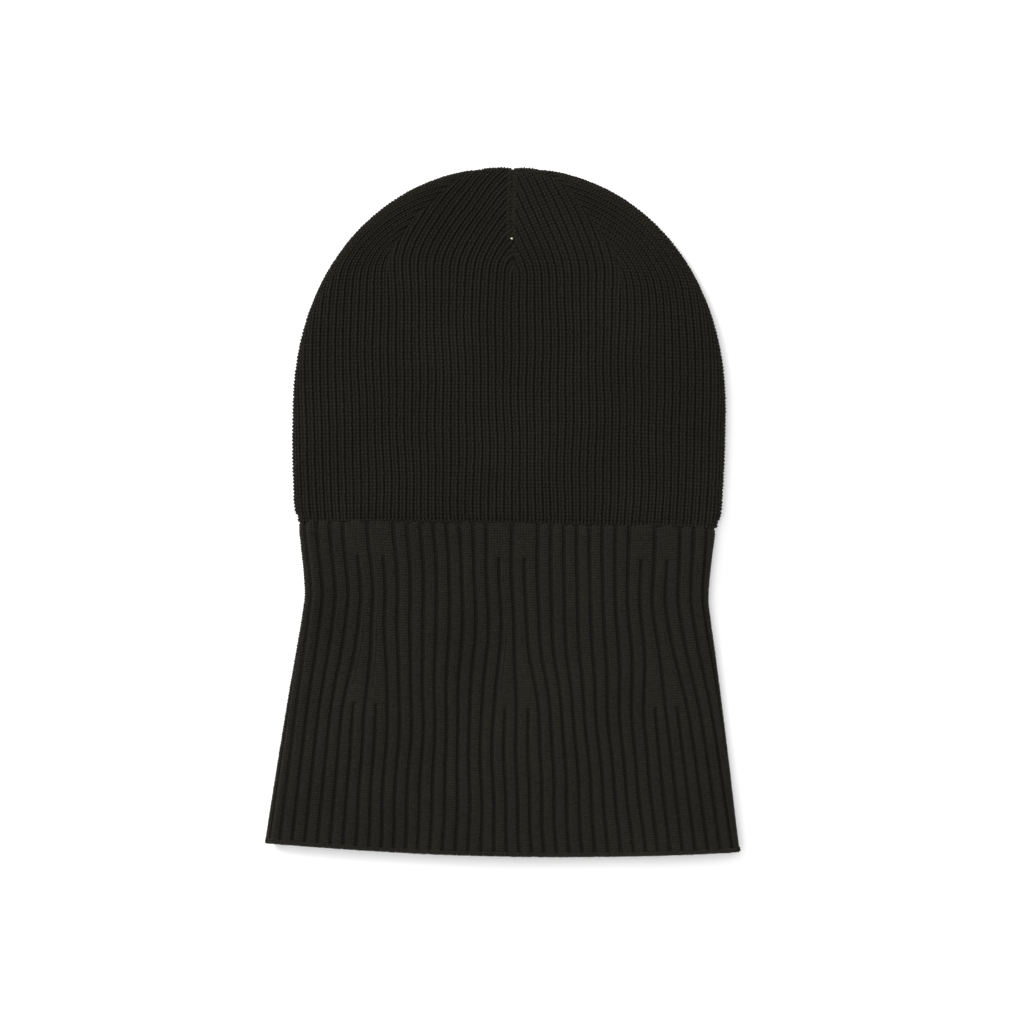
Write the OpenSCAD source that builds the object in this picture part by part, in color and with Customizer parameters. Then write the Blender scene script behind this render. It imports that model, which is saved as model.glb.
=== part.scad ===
// A knitted balaclava laid flat on its front, with the back of the head up.
// +X is the wearer's right as seen from behind, +Y runs to the top of the crown and +Z is up.
// The origin is on the resting plane, at the middle of the laid outline. Millimetres.

/* [Crown] */
// Width of the laid crown at its widest
crown_w = 230; // [210:1:245]
// Width of the crown where it is linked to the neck
crown_foot_w = 224; // [200:1:228]
// Height of the crown above the link seam
crown_h = 189; // [175:1:200]
// Height above the link seam at which the crown is widest
crown_widest_h = 58; // [40:1:70]
// Exponent of the crown's arch, where 2 is an ellipse and more is squarer
crown_arch = 2.14; // [2:0.02:2.4]
// Length of the linked dart below the apex
dart_len = 38; // [30:1:60]

/* [Neck] */
// Width of the laid neck where it is linked to the crown
neck_top_w = 221; // [200:1:226]
// Width of the laid neck at its narrowest
waist_w = 215; // [195:1:220]
// Distance of the narrowest place below the link seam
waist_drop = 42; // [30:1:60]
// Width of the laid neck at the hem
hem_w = 254; // [225:1:270]
// Length of the neck at its middle, from the link seam to the hem
neck_len = 178; // [150:1:200]
// How much shorter the neck is at its sides than at its middle
hem_bow = 5; // [0:0.5:8]

/* [Fabric] */
// Thickness of the crown's rib fabric
crown_t = 4; // [3:0.1:4.5]
// Thickness of the neck's rib fabric
neck_t = 3.6; // [3:0.1:4.2]
// Height of the laid cap at its middle, across both layers
lay_h = 16; // [15:0.5:22]
// How much lower the laid cap is at its side folds than at its middle
lay_dome = 1.5; // [0:0.1:2]

/* [Face opening] */
// Width of the opening cut in the front, before its band is linked on
face_cut_w = 156; // [130:1:164]
// Height of the opening cut in the front, down from the link seam
face_cut_h = 88; // [70:1:110]
// Corner radius of the opening cut in the front
face_cut_r = 32; // [24:1:34]
// Width of the rib band round the opening
band_w = 14; // [10:0.5:20]
// Thickness of the rib band
band_t = 4; // [3.6:0.1:4.4]

/* [Seams and edges] */
// Radius of the linked ridges inside the cap
ridge_r = 1.2; // [0.8:0.1:1.4]
// Width of the started edge along the hem
start_edge_w = 2.6; // [2:0.1:4]
// Width of the chain that links the band to the front
chain_w = 3; // [2:0.1:4]
// Height of that chain above the fabric
chain_t = 1.4; // [1:0.1:2]
// Yarn radius of the tacks, stitches and woven-in ends
yarn_r = 0.6; // [0.4:0.1:0.8]

/* [Label] */
// Width of the folded care label
label_w = 22; // [15:1:30]
// Length of the folded care label
label_len = 30; // [20:1:40]

/* [Hidden] */

seam_y = (neck_len - crown_h) / 2;
widest_y = seam_y + crown_widest_h;
apex_y = seam_y + crown_h;
fold_r = (lay_h - lay_dome) / 2;
gap = 0.2;
arch_steps = 22;
side_steps = 5;
top_steps = 7;
fold_steps = 6;
neck_steps = 18;
crown_colour = "#1f1e1a";
neck_colour = "#22211d";
trim_colour = "#262520";
label_colour = "#2c2b28";

// Half the neck's laid width at a distance below the link seam
function neck_half(drop) = drop < waist_drop
    ? waist_w / 2 + (neck_top_w - waist_w) / 4 * (1 + cos(180 * drop / waist_drop))
    : waist_w / 2 + (hem_w - waist_w) / 2 * (drop - waist_drop) / (neck_len - waist_drop);

// Y of the hem at a share of its half width
function hem_y(share) = seam_y - neck_len + hem_bow * share * share;

// Half the crown's laid width at a height above the link seam and below its widest place
function crown_side(h) = crown_w / 2 - (crown_w - crown_foot_w) / 2 * pow(1 - h / crown_widest_h, 3);

// A point of the crown's arch, from 0 degrees at its right side to 180 at its left
function arch_point(a) = [
    crown_w / 2 * sign(cos(a)) * pow(abs(cos(a)), 2 / crown_arch),
    widest_y + (apex_y - widest_y) * pow(sin(a), 2 / crown_arch)
];

// The crown's outline, from its right foot over the apex to its left foot
function crown_outline() = concat(
    [for (i = [0 : side_steps - 1]) let (h = crown_widest_h * i / side_steps) [crown_side(h), seam_y + h]],
    [for (i = [0 : arch_steps]) arch_point(180 * i / arch_steps)],
    [for (i = [side_steps - 1 : -1 : 0]) let (h = crown_widest_h * i / side_steps) [-crown_side(h), seam_y + h]]
);

// Distance from the middle of the link seam to an outline point
function reach(p) = norm(p - [0, seam_y]);

// An outline point moved towards the middle of the link seam
function inward(p, e) = let (d = reach(p)) [p.x * (1 - e / d), seam_y + (p.y - seam_y) * (1 - e / d)];

// Height of the upper layer's outside at a share of the way from the fold to the middle
function dome_z(share) = lay_h - lay_dome * (1 - share) * (1 - share);

// Section of the laid fold from its foot to its top: inward distance and height, at a depth under the skin
function fold_section(depth) = [
    for (i = [0 : fold_steps]) let (a = -90 + 180 * i / fold_steps)
        [fold_r - (fold_r - depth) * cos(a), fold_r + (fold_r - depth) * sin(a)]
];

// One radial row of the crown's back, from its foot on the floor to the middle of the link seam
function crown_row(p, depth) = concat(
    [for (s = fold_section(depth)) let (q = inward(p, s[0])) [q.x, q.y, s[1]]],
    [for (i = [1 : top_steps]) let (share = i / top_steps,
        q = inward(p, fold_r + (reach(p) - fold_r) * share)) [q.x, q.y, dome_z(share) - depth]]
);

// The right half of one cross row of the neck's back, from its foot on the floor to the middle
function neck_half_row(half, depth) = concat(
    [for (s = fold_section(depth)) [half - s[0], s[1]]],
    [for (i = [1 : top_steps]) let (share = i / top_steps)
        [(half - fold_r) * (1 - share), dome_z(share) - depth]]
);

// One cross row of the neck's back from right to left, at a share of the way to the hem
function neck_row(share, depth) = let (
    half = neck_half(neck_len * share),
    right = neck_half_row(half, depth),
    last = len(right) - 1,
    both = concat(right, [for (i = [last - 1 : -1 : 0]) [-right[i][0], right[i][1]]])
) [for (q = both) let (end_y = hem_y(q[0] / half) + start_edge_w)
    [q[0], seam_y - gap / 2 + (end_y - seam_y + gap / 2) * share, q[1]]];

// Points of the neck's outline on one side, from the link seam to the hem
function neck_side(side, inset) = [
    for (i = [0 : neck_steps]) let (share = i / neck_steps, half = neck_half(neck_len * share),
        end_y = hem_y(1) + start_edge_w)
        [side * (half - inset), seam_y - gap / 2 + (end_y - seam_y + gap / 2) * share]
];

// Points along the hem from left to right
function hem_line(inset) = [
    for (i = [1 : neck_steps - 1]) let (share = -1 + 2 * i / neck_steps)
        [share * (hem_w / 2 - inset), hem_y(share) + start_edge_w]
];

// Closed solid between two point grids of the same size
module fabric(outer, inner) {
    rows = len(outer);
    cols = len(outer[0]);
    points = concat([for (row = outer) each row], [for (row = inner) each row]);
    shift = rows * cols;
    function at(r, c) = r * cols + c;
    faces = concat(
        [for (r = [0 : rows - 2], c = [0 : cols - 2]) each [
            [at(r, c), at(r, c + 1), at(r + 1, c + 1)], [at(r, c), at(r + 1, c + 1), at(r + 1, c)]]],
        [for (r = [0 : rows - 2], c = [0 : cols - 2]) each [
            [shift + at(r, c), shift + at(r + 1, c + 1), shift + at(r, c + 1)],
            [shift + at(r, c), shift + at(r + 1, c), shift + at(r + 1, c + 1)]]],
        [for (r = [0 : rows - 2], c = [0, cols - 1]) let (a = at(r, c), b = at(r + 1, c))
            c == 0 ? [a, b, b + shift, a + shift] : [b, a, a + shift, b + shift]],
        [for (c = [0 : cols - 2], r = [0, rows - 1]) let (a = at(r, c), b = at(r, c + 1))
            r == 0 ? [b, a, a + shift, b + shift] : [a, b, b + shift, a + shift]]
    );
    polyhedron(points, faces, convexity = 6);
}

// Tube along a path that lies square to one direction, with an oval section
module ridge(path, square_to, wide, high, closed = false) {
    sides = 8;
    count = len(path);
    function next(i) = closed ? (i + 1) % count : min(i + 1, count - 1);
    function prior(i) = closed ? (i + count - 1) % count : max(i - 1, 0);
    points = [
        for (i = [0 : count - 1])
            let (along = path[next(i)] - path[prior(i)], across = cross(along, square_to) / norm(along))
            for (k = [0 : sides - 1])
                path[i] + across * high * cos(360 * k / sides) + square_to * wide * sin(360 * k / sides)
    ];
    walls = [
        for (i = [0 : count - (closed ? 1 : 2)], k = [0 : sides - 1])
            let (a = i * sides, b = next(i) * sides, m = (k + 1) % sides)
            each [[a + k, b + k, b + m], [a + k, b + m, a + m]]
    ];
    ends = closed ? [] : [
        [for (k = [0 : sides - 1]) k],
        [for (k = [sides - 1 : -1 : 0]) (count - 1) * sides + k]
    ];
    polyhedron(points, concat(walls, ends), convexity = 6);
}

// Rounded rectangle about the origin
module rounded(w, h, r) {
    square([w - 2 * r, h], center = true);
    square([w, h - 2 * r], center = true);
    for (x = [-1, 1], y = [-1, 1])
        translate([x * (w / 2 - r), y * (h / 2 - r)]) circle(r, $fn = 64);
}

// The face opening's outline, grown outwards by a margin
module face_outline(margin) {
    translate([0, seam_y - gap / 2 - face_cut_h / 2])
        rounded(face_cut_w + 2 * margin, face_cut_h + 2 * margin, face_cut_r + margin);
}

module crown_back_panel() {
    outline = crown_outline();
    color(crown_colour)
        fabric([for (p = outline) crown_row(p, 0)], [for (p = outline) crown_row(p, crown_t)]);
}

module crown_front_panel() {
    color(crown_colour)
        linear_extrude(crown_t)
            polygon([for (p = crown_outline()) inward(p, fold_r + gap)]);
}

module neck_back_panel() {
    rows = [for (i = [0 : neck_steps]) i / neck_steps];
    color(neck_colour)
        fabric([for (s = rows) neck_row(s, 0)], [for (s = rows) neck_row(s, neck_t)]);
}

module neck_front_panel() {
    left = neck_side(-1, fold_r + gap);
    right = neck_side(1, fold_r + gap);
    outline = concat(left, hem_line(fold_r + gap), [for (i = [neck_steps : -1 : 0]) right[i]]);
    color(neck_colour)
        linear_extrude(neck_t)
            difference() {
                polygon(outline);
                face_outline(0);
            }
}

// Linked ridge inside one side fold of the crown, from its foot to the apex
module crown_side_seam(side) {
    outline = crown_outline();
    middle = side_steps + arch_steps / 2;
    half = [for (i = [0 : middle - 1]) outline[i]];
    top = [gap, apex_y];
    path = [for (p = concat(half, [top])) let (q = inward(p, fold_r + ridge_r))
        [side * q.x, max(q.y, seam_y + ridge_r + gap), crown_t + ridge_r]];
    color(trim_colour) ridge(path, [0, 0, 1], ridge_r, ridge_r);
}

module left_crown_seam() { crown_side_seam(-1); }

module right_crown_seam() { crown_side_seam(1); }

module back_crown_dart_seam() {
    from_e = fold_r + 2;
    reach_e = crown_h - fold_r;
    path = [for (i = [0 : 8]) let (e = from_e + (dart_len - from_e) * i / 8)
        [0, apex_y - e, dome_z((e - fold_r) / reach_e) - crown_t - ridge_r - 0.05]];
    color(trim_colour) ridge(path, [1, 0, 0], ridge_r, ridge_r);
}

module front_crown_dart_seam() {
    from_e = fold_r + 3 * ridge_r;
    path = [for (e = [from_e, dart_len]) [0, apex_y - e, crown_t + ridge_r]];
    color(trim_colour) ridge(path, [1, 0, 0], ridge_r, ridge_r);
}

// Two short bars of yarn that lock the end of each dart
module dart_end_tacks() {
    bar = 3.2;
    share = (dart_len - fold_r) / (crown_h - fold_r);
    top_z = dome_z(share) - crown_t - yarn_r - 0.05;
    color(trim_colour)
        for (z = [crown_t + yarn_r, top_z], row = [1, 2])
            translate([-bar / 2, apex_y - dart_len - row * 3 * yarn_r, z])
                rotate([0, 90, 0]) cylinder(h = bar, r = yarn_r, $fn = 16);
}

module back_link_seam() {
    half_row = neck_half_row(neck_half(0) - ridge_r / 2, crown_t + ridge_r);
    last = len(half_row) - 1;
    right = [for (i = [2 : last]) half_row[i]];
    left = [for (i = [last - 1 : -1 : 2]) [-half_row[i][0], half_row[i][1]]];
    path = [for (q = concat(right, left)) [q[0], seam_y, q[1]]];
    color(trim_colour) ridge(path, [0, 1, 0], ridge_r, ridge_r);
}

module front_link_seam() {
    from_x = face_cut_w / 2 + chain_w;
    to_x = neck_half(0) - fold_r - 3 * ridge_r;
    color(trim_colour)
        for (side = [-1, 1])
            ridge([for (x = [from_x, to_x]) [side * x, seam_y, crown_t + ridge_r]], [0, 1, 0], ridge_r, ridge_r);
}

// Linked ridge inside one side fold of the neck, from the link seam to the hem
module neck_side_seam(side) {
    points = neck_side(1, fold_r + ridge_r);
    first = [points[0].x, seam_y - 2 * ridge_r];
    path = [for (p = concat([first], [for (i = [1 : neck_steps]) points[i]])) [side * p.x, p.y, neck_t + ridge_r]];
    color(trim_colour) ridge(path, [0, 0, 1], ridge_r, ridge_r);
}

module left_neck_seam() { neck_side_seam(-1); }

module right_neck_seam() { neck_side_seam(1); }

module face_rib_band() {
    color(trim_colour)
        linear_extrude(band_t)
            difference() {
                face_outline(-gap);
                face_outline(-band_w);
                band_joint();
            }
}

// The narrow gap where the band's two ends meet, below the middle of the face opening
module band_joint() {
    joint_w = 1.6;
    translate([-joint_w / 2, seam_y - gap / 2 - face_cut_h]) square([joint_w, band_w + gap]);
}

module face_band_link_chain() {
    color(trim_colour)
        translate([0, 0, band_t])
            linear_extrude(chain_t)
                difference() {
                    face_outline(chain_w / 2);
                    face_outline(-chain_w / 2);
                }
}

// The seam that closes the band into a ring
module face_band_end_join() {
    color(trim_colour)
        linear_extrude(band_t - gap)
            intersection() {
                band_joint();
                difference() {
                    face_outline(-gap);
                    face_outline(-band_w + gap);
                }
            }
}

module hem_start_edge() {
    half_t = neck_t / 2;
    right = neck_half_row(hem_w / 2, half_t);
    last = len(right) - 1;
    upper = concat(right, [for (i = [last - 1 : -1 : 0]) [-right[i][0], right[i][1]]]);
    lower = [for (i = [1 : neck_steps - 1]) [(-1 + 2 * i / neck_steps) * (hem_w / 2 - fold_r), half_t]];
    path = [for (q = concat(upper, lower)) [q[0], hem_y(q[0] / (hem_w / 2)) + start_edge_w / 2, q[1]]];
    color(trim_colour) ridge(path, [0, 1, 0], start_edge_w / 2, half_t, closed = true);
}

// Woven label folded in two, laid on the front inside the left side seam
module care_label() {
    ply = 0.3;
    bend_r = 0.5;
    left_x = -neck_half(neck_len * 0.7) + fold_r + 3 * ridge_r;
    color(label_colour)
        translate([left_x, seam_y - neck_len * 0.7 + label_len / 2, neck_t + 0.05])
            rotate([90, 0, 0])
                linear_extrude(label_len)
                    union() {
                        square([label_w, ply]);
                        translate([0, 2 * bend_r - ply]) square([label_w, ply]);
                        translate([label_w, bend_r])
                            difference() {
                                circle(bend_r, $fn = 32);
                                circle(bend_r - ply, $fn = 32);
                                translate([-2 * bend_r, -bend_r]) square([2 * bend_r, 2 * bend_r]);
                            }
                    }
}

// The row of stitches that holds the label along its open end
module label_stitches() {
    count = 6;
    left_x = -neck_half(neck_len * 0.7) + fold_r + 3 * ridge_r;
    pitch = label_len / count;
    color(trim_colour)
        for (i = [0 : count - 1])
            translate([left_x + 2, seam_y - neck_len * 0.7 - label_len / 2 + (i + 0.2) * pitch, neck_t + 1.1 + yarn_r / 2])
                rotate([-90, 0, 0]) cylinder(h = pitch * 0.6, r = yarn_r / 2, $fn = 16);
}

// Yarn ends darned in beside the four corners of the seams
module woven_in_yarn_ends() {
    tail = 24;
    crown_x = crown_side(20) - fold_r - 5 * ridge_r;
    hem_x = neck_half(neck_len) - fold_r - 6 * ridge_r;
    color(trim_colour)
        for (side = [-1, 1]) {
            translate([side * crown_x, seam_y + 8, crown_t + yarn_r])
                rotate([-90, 0, 0]) cylinder(h = tail, r = yarn_r, $fn = 16);
            translate([side * hem_x, seam_y - neck_len + hem_bow + 6, neck_t + yarn_r])
                rotate([-90, 0, 0]) cylinder(h = tail, r = yarn_r, $fn = 16);
        }
}

crown_back_panel();
crown_front_panel();
neck_back_panel();
neck_front_panel();
left_crown_seam();
right_crown_seam();
back_crown_dart_seam();
front_crown_dart_seam();
dart_end_tacks();
back_link_seam();
front_link_seam();
left_neck_seam();
right_neck_seam();
face_rib_band();
face_band_link_chain();
face_band_end_join();
hem_start_edge();
care_label();
label_stitches();
woven_in_yarn_ends();
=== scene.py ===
"""Knitted balaclava laid flat on its front: the visible model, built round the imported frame."""

import logging
import math
from dataclasses import dataclass, field, replace
from enum import Enum

import bpy
import numpy as np
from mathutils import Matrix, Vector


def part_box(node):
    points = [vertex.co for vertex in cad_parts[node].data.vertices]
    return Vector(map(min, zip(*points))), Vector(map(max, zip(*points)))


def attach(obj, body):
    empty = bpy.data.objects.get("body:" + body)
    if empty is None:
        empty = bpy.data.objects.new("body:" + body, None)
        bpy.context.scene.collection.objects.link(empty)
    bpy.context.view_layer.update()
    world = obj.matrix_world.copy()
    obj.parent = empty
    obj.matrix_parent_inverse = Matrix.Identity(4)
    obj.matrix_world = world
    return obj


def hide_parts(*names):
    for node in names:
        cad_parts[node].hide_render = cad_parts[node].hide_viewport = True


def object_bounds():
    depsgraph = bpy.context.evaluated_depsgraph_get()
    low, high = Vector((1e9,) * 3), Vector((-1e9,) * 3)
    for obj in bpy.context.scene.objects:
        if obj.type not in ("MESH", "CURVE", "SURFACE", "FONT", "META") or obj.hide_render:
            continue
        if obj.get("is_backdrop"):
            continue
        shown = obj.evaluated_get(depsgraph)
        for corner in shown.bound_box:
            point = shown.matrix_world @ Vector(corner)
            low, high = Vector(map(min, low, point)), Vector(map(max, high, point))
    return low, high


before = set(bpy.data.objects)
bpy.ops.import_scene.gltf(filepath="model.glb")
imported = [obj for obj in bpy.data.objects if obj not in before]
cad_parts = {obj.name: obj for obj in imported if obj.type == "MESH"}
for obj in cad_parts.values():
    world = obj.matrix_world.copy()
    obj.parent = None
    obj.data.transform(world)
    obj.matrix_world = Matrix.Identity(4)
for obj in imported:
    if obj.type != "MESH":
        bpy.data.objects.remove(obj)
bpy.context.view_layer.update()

log = logging.getLogger("balaclava")

# Shapes are worked out in millimetres, and this turns them into metres.
MM = 0.001
Arrays = tuple[np.ndarray, ...]
BODY = "root"


class Layer(Enum):
    """The two layers of the laid cap: the back of the head is up, and the front lies on the floor."""

    BACK = 1
    FRONT = -1


class Wale(Enum):
    """What a column of stitches shows on the outside."""

    KNIT = 1
    PURL = 2


# ---------------------------------------------------------------------------------------------
# Small helpers
# ---------------------------------------------------------------------------------------------


def smoothstep(low: float, high: float, value: np.ndarray) -> np.ndarray:
    """Ease from 0 at low to 1 at high.

    Args:
        low: where the ease starts.
        high: where it ends; it may be below low, for a falling ease.
        value: where to read it.

    Returns:
        The eased values.
    """
    share = np.clip((np.asarray(value, float) - low) / (high - low), 0.0, 1.0)
    return share * share * (3.0 - 2.0 * share)


def unit(vectors: np.ndarray) -> np.ndarray:
    """Vectors along the last axis, brought to length 1."""
    return vectors / np.maximum(np.linalg.norm(vectors, axis=-1, keepdims=True), 1e-12)


def bezier(start: tuple, bend: tuple, end: tuple, share: np.ndarray) -> np.ndarray:
    """Points of a curve of three control points.

    Args:
        start: the first point.
        bend: the control point that bows the curve.
        end: the last point.
        share: where along the curve, from 0 to 1.

    Returns:
        One point for each share.
    """
    s = np.asarray(share, float)[:, None]
    return (1 - s) ** 2 * np.array(start) + 2 * s * (1 - s) * np.array(bend) + s * s * np.array(end)


def along(line: np.ndarray, share: np.ndarray, place: int = 3) -> np.ndarray:
    """Points at shares of a polyline's length.

    Args:
        line: the polyline's points, one a row; it may carry more values after the place.
        share: the shares of its length, from 0 to 1.
        place: how many of the values are the place that the length is measured on.

    Returns:
        One row of values for each share.
    """
    steps = np.linalg.norm(np.diff(line[:, :place], axis=0), axis=1)
    run = np.concatenate([[0.0], np.cumsum(steps)])
    want = np.clip(share, 0.0, 1.0) * run[-1]
    return np.stack([np.interp(want, run, line[:, k]) for k in range(line.shape[1])], axis=1)


def eased(values: np.ndarray, spread: float) -> np.ndarray:
    """Values along the last axis with their corners rounded, and their two ends kept.

    Args:
        values: the values.
        spread: how many steps the rounding reaches.

    Returns:
        The rounded values.
    """
    reach = int(math.ceil(2.5 * spread))
    weight = np.exp(-0.5 * (np.arange(-reach, reach + 1) / spread) ** 2)
    weight /= weight.sum()
    before = 2 * values[..., :1] - values[..., reach:0:-1]
    after = 2 * values[..., -1:] - values[..., -2 : -reach - 2 : -1]
    long = np.concatenate([before, values, after], axis=-1)
    count = values.shape[-1]
    return sum(w * long[..., k : k + count] for k, w in enumerate(weight))


def linear(code: str) -> tuple[float, float, float, float]:
    """An sRGB hex colour as linear red, green, blue and alpha."""
    channels = [int(code[i : i + 2], 16) / 255.0 for i in (1, 3, 5)]
    low, gamma = 0.04045, 2.4
    turned = [c / 12.92 if c <= low else ((c + 0.055) / 1.055) ** gamma for c in channels]
    return (*turned, 1.0)


def add_node(tree: bpy.types.NodeTree, kind: str, settings: dict, links: dict) -> bpy.types.Node:
    """Add one node with its settings and its incoming links.

    Args:
        tree: the node tree.
        kind: the node's type name.
        settings: attributes, or input sockets' values where the key names a socket.
        links: input socket to the output socket that feeds it.

    Returns:
        The new node.
    """
    node = tree.nodes.new(kind)
    for key, value in settings.items():
        if isinstance(key, str) and hasattr(node, key):
            setattr(node, key, value)
        else:
            node.inputs[key].default_value = value
    for key, source in links.items():
        tree.links.new(source, node.inputs[key])
    return node


def start_material(name: str) -> tuple[bpy.types.Material, bpy.types.NodeTree, bpy.types.NodeSocket]:
    """An empty material, its node tree and the object's own coordinates."""
    made = bpy.data.materials.new(name)
    made.use_nodes = True
    tree = made.node_tree
    tree.nodes.clear()
    return made, tree, add_node(tree, "ShaderNodeTexCoord", {}, {}).outputs["Object"]


def finish_material(
    tree: bpy.types.NodeTree, share: bpy.types.NodeSocket, ends: tuple, surface: dict
) -> None:
    """Mix two colours by a pattern and give them to the surface.

    Args:
        tree: the material's node tree.
        share: the pattern, from 0 to 1.
        ends: the two colours, as sRGB hex codes.
        surface: the surface shader's own values.
    """
    colours = {"data_type": "RGBA", 6: linear(ends[0]), 7: linear(ends[1])}
    mixed = add_node(tree, "ShaderNodeMix", colours, {0: share})
    shader = add_node(tree, "ShaderNodeBsdfPrincipled", surface, {"Base Color": mixed.outputs[2]})
    add_node(tree, "ShaderNodeOutputMaterial", {}, {"Surface": shader.outputs["BSDF"]})


# ---------------------------------------------------------------------------------------------
# Finishes
# ---------------------------------------------------------------------------------------------


@dataclass(frozen=True)
class SpunYarn:
    """Matt wool-blend yarn, spun and dyed in the fibre: nearly black, olive in the light, no gloss.

    Flecks of lighter and darker fibre run along the yarn, and a soft sheen of loose fibre ends
    lifts the colour where the surface turns away.
    """

    name: str
    deep: str
    lit: str
    roughness: float = 0.92
    ior: float = 1.54
    gloss: float = 0.11
    fibre_ends: str = "#8c8470"
    fuzz: float = 0.1
    fleck_mm: float = 1.6
    cloud_mm: float = 34.0

    def material(self) -> bpy.types.Material:
        """Build the yarn's material.

        Returns:
            The material, with its colour from two sizes of noise on the object.
        """
        made, tree, place = start_material(self.name)
        sizes = ((self.fleck_mm, 3.0, 0.65), (self.cloud_mm, 2.0, 0.5))
        fleck, cloud = (
            add_node(
                tree,
                "ShaderNodeTexNoise",
                {"Scale": 1.0 / (size * MM), "Detail": detail, "Roughness": rough},
                {"Vector": place},
            )
            for size, detail, rough in sizes
        )
        mixed = add_node(
            tree,
            "ShaderNodeMath",
            {"operation": "MULTIPLY_ADD", 1: 0.35},
            {0: cloud.outputs["Fac"], 2: fleck.outputs["Fac"]},
        )
        spread = add_node(
            tree,
            "ShaderNodeMapRange",
            {"From Min": 0.42, "From Max": 0.92, "To Min": 0.0, "To Max": 1.0},
            {"Value": mixed.outputs["Value"]},
        )
        surface = {
            "Roughness": self.roughness,
            "IOR": self.ior,
            "Specular IOR Level": self.gloss,
            "Sheen Weight": self.fuzz,
            "Sheen Roughness": 0.45,
            "Sheen Tint": linear(self.fibre_ends),
        }
        finish_material(tree, spread.outputs["Result"], (self.deep, self.lit), surface)
        return made


@dataclass(frozen=True)
class WovenTape:
    """Plain woven polyester tape with a fine even weave: slightly brighter and smoother than yarn."""

    name: str = "woven_polyester_tape"
    ground: str = "#34332f"
    thread: str = "#45443f"
    thread_mm: float = 0.35

    def material(self) -> bpy.types.Material:
        """Build the tape's material.

        Returns:
            The material, with its weave from two crossed waves at the thread spacing.
        """
        made, tree, place = start_material(self.name)
        waves = [
            add_node(
                tree,
                "ShaderNodeTexWave",
                {"bands_direction": way, "Scale": 0.05 / (self.thread_mm * MM), "Distortion": 0.6},
                {"Vector": place},
            )
            for way in ("X", "Y")
        ]
        woven = add_node(
            tree,
            "ShaderNodeMath",
            {"operation": "MULTIPLY"},
            {0: waves[0].outputs["Fac"], 1: waves[1].outputs["Fac"]},
        )
        surface = {"Roughness": 0.7, "IOR": 1.57, "Sheen Weight": 0.1}
        finish_material(tree, woven.outputs["Value"], (self.ground, self.thread), surface)
        return made


@dataclass(frozen=True)
class PaperSweep:
    """Matt white paper sweep under the cap: even, bright and without gloss."""

    name: str = "matt_white_paper"
    tone: str = "#f7f7f7"
    shade: str = "#f4f4f4"

    def material(self) -> bpy.types.Material:
        """Build the paper's material.

        Returns:
            The material, with a barely visible fibre mottle.
        """
        made, tree, place = start_material(self.name)
        pattern = {"Scale": 40.0, "Detail": 2.0}
        mottle = add_node(tree, "ShaderNodeTexNoise", pattern, {"Vector": place})
        surface = {"Roughness": 0.95, "Specular IOR Level": 0.1}
        finish_material(tree, mottle.outputs["Fac"], (self.tone, self.shade), surface)
        return made


@dataclass
class Finishes:
    """Every material of the cap, made once and shared.

    The yarn inside a fabric and at the bottom of its grooves gets a deeper black than the yarn that
    stands out, as painted shade for the grooves, with no loose fibre to catch the light.
    """

    crown: bpy.types.Material = field(
        default_factory=SpunYarn("spun_wool_blend_crown", deep="#100f0c", lit="#1e1c16").material
    )
    # Painted shade: a deeper black for the crown's body behind the stitches, standing in for the shade in its
    # grooves.
    crown_core_painted_shade: bpy.types.Material = field(
        default_factory=SpunYarn("painted_shade_wool_blend_crown", deep="#0f0e0c", lit="#181613", fuzz=0.0).material
    )
    neck: bpy.types.Material = field(
        default_factory=SpunYarn("spun_wool_blend_neck", deep="#131210", lit="#22201a").material
    )
    # Painted shade: a deeper black for the neck's body, its purl bars and the band's body, standing in for
    # the shade at the bottom of the grooves.
    neck_core_painted_shade: bpy.types.Material = field(
        default_factory=SpunYarn("painted_shade_wool_blend_neck", deep="#0c0b09", lit="#161511", fuzz=0.0).material
    )
    linking: bpy.types.Material = field(
        default_factory=SpunYarn(
            "linking_yarn", deep="#0f0e0b", lit="#1c1b16", fleck_mm=1.0, fuzz=0.05
        ).material
    )
    # Painted highlight: pale grey yarn standing in for the pale speck seen at the dart's end.
    tack: bpy.types.Material = field(
        default_factory=SpunYarn("painted_highlight_tack_yarn", deep="#a19e92", lit="#d2cfc2", fleck_mm=0.8).material
    )
    tape: bpy.types.Material = field(default_factory=WovenTape().material)
    paper: bpy.types.Material = field(default_factory=PaperSweep().material)


# ---------------------------------------------------------------------------------------------
# Meshes
# ---------------------------------------------------------------------------------------------


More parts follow.
